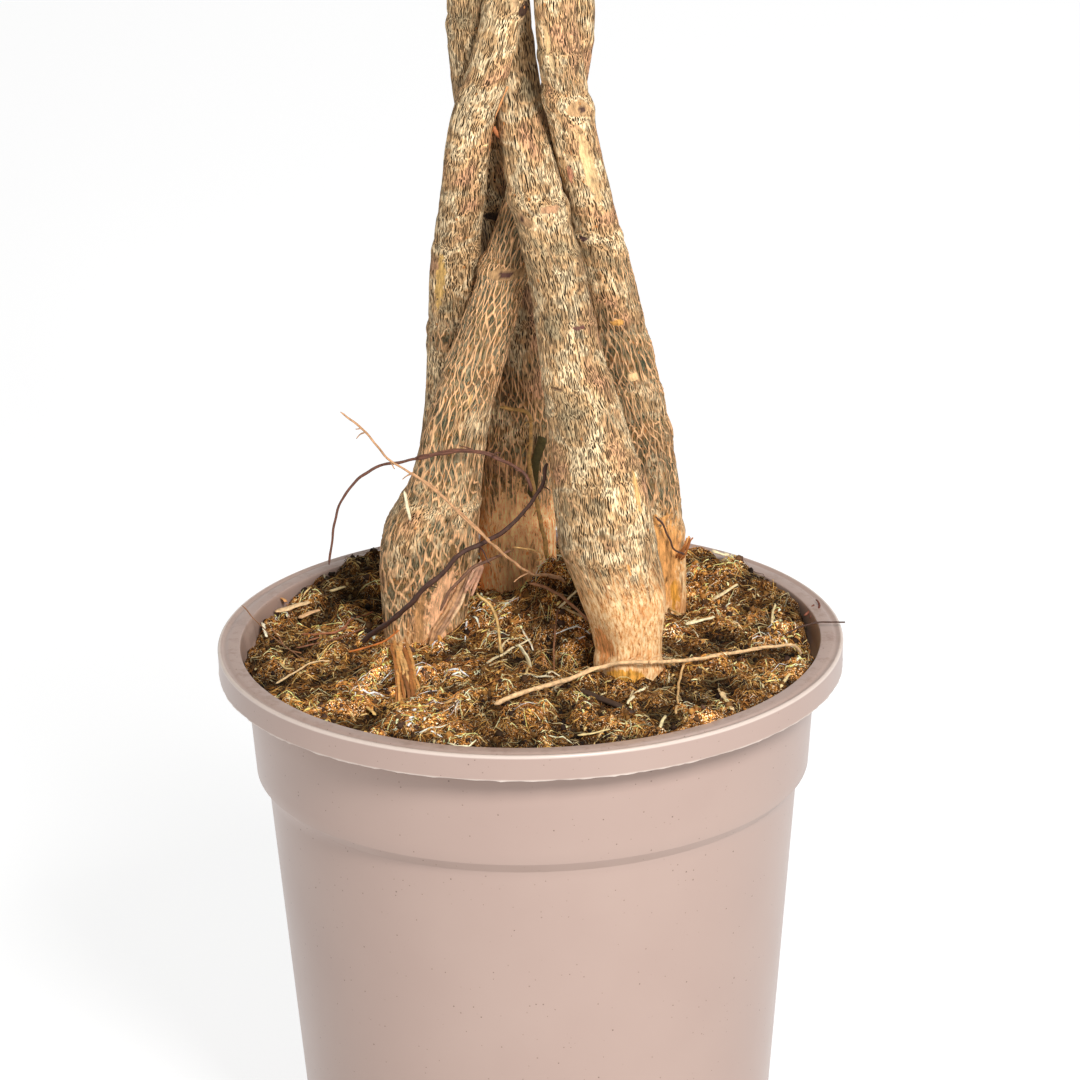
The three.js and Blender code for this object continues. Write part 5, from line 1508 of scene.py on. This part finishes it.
def findPlan(place, number, draw):
    # draws leaves until one has its leaflet tips where the CAD leaf has them
    name = f"leaf_{place}_{number + 1}"
    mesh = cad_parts[name].data
    corners = np.empty(len(mesh.vertices) * 3, dtype=np.float32)
    mesh.vertices.foreach_get("co", corners)
    corners = corners.reshape(-1, 3) / mm
    for tries in range(crown["tries"]):
        plan = leafPlan(place, number, tries, draw)
        axes = leafAxes(plan)
        hub = stalkPoint(plan, 1)
        tips = [leafletPoint(hub, leafletFrame(plan, axes, i), 1, 0, 0) for i in range(plan["leaflets"])]
        misses = [np.linalg.norm(corners - tip, axis=1).min() for tip in tips]
        if max(misses) < crown["matchWithin"]:
            return plan, axes, hub
    raise RuntimeError(f"no plan matches {name}")


def leaflet(plan, hub, axes, index, chance):
    # one leaflet as a thin closed blade whose rows of points follow its side veins
    frameOfLeaflet = leafletFrame(plan, axes, index)
    length = frameOfLeaflet[3]
    full = length * crown["widthShare"] / 2
    columns = np.array(crown["columns"])
    rows = crown["rows"]
    phase, twist = chance.uniform(0, 6.28), chance.uniform(-0.05, 0.05)
    curl = chance.uniform(-0.02, 0.05)
    top, under, veins, ribs = [], [], [], []
    start = crown["hubReach"] * 0.6 / length
    for row in range(rows + 1):
        t = start + (1 - start) * row / rows
        half = crown["leastHalf"] + full * math.sin(math.pi * min(t, 1) ** crown["skew"]) ** 0.8
        half *= np.interp(t, *crown["outline"])
        for column in columns:
            across = column * half
            # points out from the midrib lie further along, as the side veins do
            slant = crown["veinSlant"] * abs(across) / length * (1 - t) * np.interp(t, [0, 0.15], [0, 1])
            s = min(1, t + slant)
            # the blade is raised between its side veins and waved along its edge
            bulge = (1 - abs(column) ** 3) * (abs(column) > 0.2)
            quilt = crown["quilt"] * (0.5 if row % 2 else -0.5) * min(1, 6 * t) * bulge
            wave = crown["wave"] * math.sin(11 * s + phase + 1.3 * column)
            edge = wave * column**2 * math.sin(math.pi * min(1, t))
            sag = -curl * length * s**3 + twist * across * s
            middle = -crown["ribSink"] if column == 0 else 0.0
            thin = crown["thick"] * (0.5 if abs(column) < 1 else crown["edgeThin"])
            rib = crown["ribDepth"] * (1 - 0.75 * s) if column == 0 else 0.0
            top.append(leafletPoint(hub, frameOfLeaflet, s, across, quilt + edge + sag + middle + thin))
            under.append(leafletPoint(hub, frameOfLeaflet, s, across, quilt + edge + sag - thin - rib))
            veins.append(float(row % 2 == 0 and abs(column) < 1))
            ribs.append(1.0 if column == 0 else (0.25 if abs(column) < 0.1 else 0.0))
    width = len(columns)
    faces = []
    count = (rows + 1) * width
    for row in range(rows):
        for k in range(width - 1):
            a = row * width + k
            faces.append([a, a + width, a + width + 1, a + 1])
            faces.append([count + a, count + a + 1, count + a + width + 1, count + a + width])
        for k, flip in ((0, False), (width - 1, True)):
            a = row * width + k
            wall = [a, count + a, count + a + width, a + width]
            faces.append(wall[::-1] if flip else wall)
    for row, flip in ((0, True), (rows, False)):
        for k in range(width - 1):
            a = row * width + k
            wall = [a, a + 1, count + a + 1, count + a]
            faces.append(wall if flip else wall[::-1])
    underside = np.concatenate([np.zeros(count), np.ones(count)])
    return np.array(top + under), faces, np.tile(veins, 2), np.tile(ribs, 2), underside


def makeLeaf(place, number, draw):
    plan, axes, hub = findPlan(place, number, draw)
    chance = random.Random(f"leaf {place} {number}")
    bundle = newBundle("vein", "rib", "under", "stalk", "shade")
    shade = chance.uniform(0, 1) * 0.6 + 0.4 * plan["share"]
    for index in range(plan["leaflets"]):
        points, faces, veins, ribs, under = leaflet(plan, hub, axes, index, chance)
        addTo(bundle, points, faces, vein=veins, rib=ribs, under=under, stalk=0.0, shade=shade)
    # leaf stalk, swollen at both ends
    shares = np.linspace(0, 1, 26)
    path = np.array([stalkPoint(plan, s) for s in shares])
    points, faces = tube(path, np.interp(shares, *crown["stalkForm"]), 10)
    addTo(bundle, points, faces, vein=0.0, rib=0.0, under=0.0, stalk=1.0, shade=shade)
    lifts, radii = zip(*crown["knuckle"])
    points, faces = tube([hub + axes[2] * lift for lift in lifts], radii, 16)
    addTo(bundle, points, faces, vein=0.0, rib=0.6, under=0.0, stalk=0.8, shade=shade)
    bundlePiece(f"leaf_{place}_{number + 1}_blades", bundle, leafMaterial,
                (f"leaf_{place}_{number + 1}",))
    return plan


def makeLeafMaterial():
    # fresh leathery leaf: waxy deep green above, dull and paler below, with lighter veins
    material, tree, shader = newMaterial(
        "waxyLeaf", {"IOR": 1.45, "Coat Weight": 0.15, "Coat Roughness": 0.25})
    place = objectMm(tree)
    mottle = addNode(tree, "ShaderNodeTexNoise", {"Scale": 1 / 22, "Detail": 4.0}, {"Vector": place})
    fresh = addNode(tree, "ShaderNodeMath", {"operation": "MULTIPLY_ADD", 1: 0.7},
                    {0: trait(tree, "shade"), 2: mottle})
    young = addNode(tree, "ShaderNodeMapRange", {1: 0.45, 2: 1.15, 3: 0.0, 4: 1.0}, {0: fresh})
    above = addNode(tree, "ShaderNodeMix",
                    {"data_type": "RGBA", 6: linear(crown["top"]), 7: linear(crown["topLight"])}, {0: young})
    thread = addNode(tree, "ShaderNodeMapRange", {1: 0.8, 2: 1.0, 3: 0.0, 4: 0.28}, {0: trait(tree, "vein")})
    rib = addNode(tree, "ShaderNodeMapRange", {1: 0.4, 2: 0.95, 3: 0.0, 4: 0.65}, {0: trait(tree, "rib")})
    lines = addNode(tree, "ShaderNodeMath", {"operation": "MAXIMUM"}, {0: thread, 1: rib})
    colour = above
    for mask, over in ((trait(tree, "under"), "under"), (lines, "vein"), (trait(tree, "stalk"), "stalk")):
        colour = addNode(tree, "ShaderNodeMix", {"data_type": "RGBA", 7: linear(crown[over])},
                         {0: mask, 6: colour.outputs[2]})
    gloss = addNode(tree, "ShaderNodeMapRange", {1: 0.0, 2: 1.0, 3: 0.33, 4: 0.6}, {0: trait(tree, "under")})
    tree.links.new(gloss.outputs[0], shader.inputs["Roughness"])
    # net of tiny veins between the side veins, drawn at 1.6 mm so that it shows
    cells = addNode(tree, "ShaderNodeTexVoronoi", {"feature": "DISTANCE_TO_EDGE", "Scale": 1 / 1.6},
                    {"Vector": place})
    joinUp(tree, shader, colour.outputs[2], cells, 0.25, 0.12)
    return material


def makeShootMaterial():
    # green stem turning woody: dull green at the tip, tan cork streaks towards its foot
    material, tree, shader = newMaterial("greenStem", {"Roughness": 0.55})
    place = objectMm(tree)
    stretched = addNode(tree, "ShaderNodeVectorMath", {"operation": "MULTIPLY", 1: (0.9, 0.9, 0.09)},
                        {0: place})
    streak = addNode(tree, "ShaderNodeTexNoise", {"Scale": 1.0, "Detail": 4.0}, {"Vector": stretched})
    woody = addNode(tree, "ShaderNodeMath", {"operation": "ADD"}, {0: streak, 1: trait(tree, "woody")})
    mask = addNode(tree, "ShaderNodeMapRange", {1: 0.72, 2: 1.1, 3: 0.0, 4: 1.0}, {0: woody})
    colour = addNode(tree, "ShaderNodeMix",
                     {"data_type": "RGBA", 6: linear(crown["shoot"]), 7: linear(crown["shootBark"])},
                     {0: mask})
    joinUp(tree, shader, colour.outputs[2], streak, 0.4, 0.3)
    return material


def makeShoot(place, plans):
    shares = np.linspace(0, 1, 90)
    path = np.array([shootPoint(place, s) for s in shares])
    path[1:6, :2] = path[0, :2] + (path[6, :2] - path[0, :2]) * (np.arange(1, 6)[:, None] / 6) ** 2
    radii = crown["shootRadius"] + shares * (crown["shootTip"] - crown["shootRadius"])
    swellings = [(0, *crown["callus"]), *[(plan["share"], *crown["node"]) for plan in plans],
                 *[(share, *crown["scar"]) for share in crown["oldScars"]]]
    for share, swelling, spread in swellings:
        radii += swelling * np.exp(-(((shares - share) / spread) ** 2))
    points, faces = tube(path, radii, 20)
    bundle = newBundle("woody")
    addTo(bundle, points, faces, woody=np.repeat(0.55 - 0.6 * shares, 20))
    # pointed bud in its scales at the tip
    tip = path[-1]
    up = path[-1] - path[-3]
    up /= np.linalg.norm(up)
    budShares = np.linspace(0, 1, 8)
    budRadii = crown["budRadius"] * (1 - budShares**1.6) + 0.25
    points, faces = tube([tip + up * (crown["budLength"] * s - 0.5) for s in budShares], budRadii, 12)
    addTo(bundle, points, faces, woody=-0.4)
    for k in range(crown["budScales"]):
        turn = math.radians(shoots[place]["turn"] + 360 / crown["budScales"] * k + 20)
        out = np.array([math.cos(turn), math.sin(turn), 0])
        route = [tip + up * (1 + 3 * s) + out * (2.2 + 3.2 * math.sin(2.2 * s) * s) + up * 10 * s
                 for s in np.linspace(0, 1, 7)]
        points, faces = tube(route, 1.5 * np.sin(np.linspace(0.35, 3.0, 7)) + 0.15, 8, 0.45)
        addTo(bundle, points, faces, woody=-0.4)
    bundlePiece(f"shoot_{place}_stem", bundle, shootMaterial, (f"shoot_{place}",))


leafMaterial = makeLeafMaterial()
shootMaterial = makeShootMaterial()
draw = drawer(crown["seed"])
plans = {place: [] for place in shoots}
for number in range(max(shoot["leaves"] for shoot in shoots.values())):
    for place, shoot in shoots.items():
        if number < shoot["leaves"]:
            plans[place].append(makeLeaf(place, number, draw))
for place in shoots:
    makeShoot(place, plans[place])
print("crown made")

triangles = sum(sum(len(f.vertices) - 2 for f in p.data.polygons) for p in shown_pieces())
print("triangles in all:", triangles)
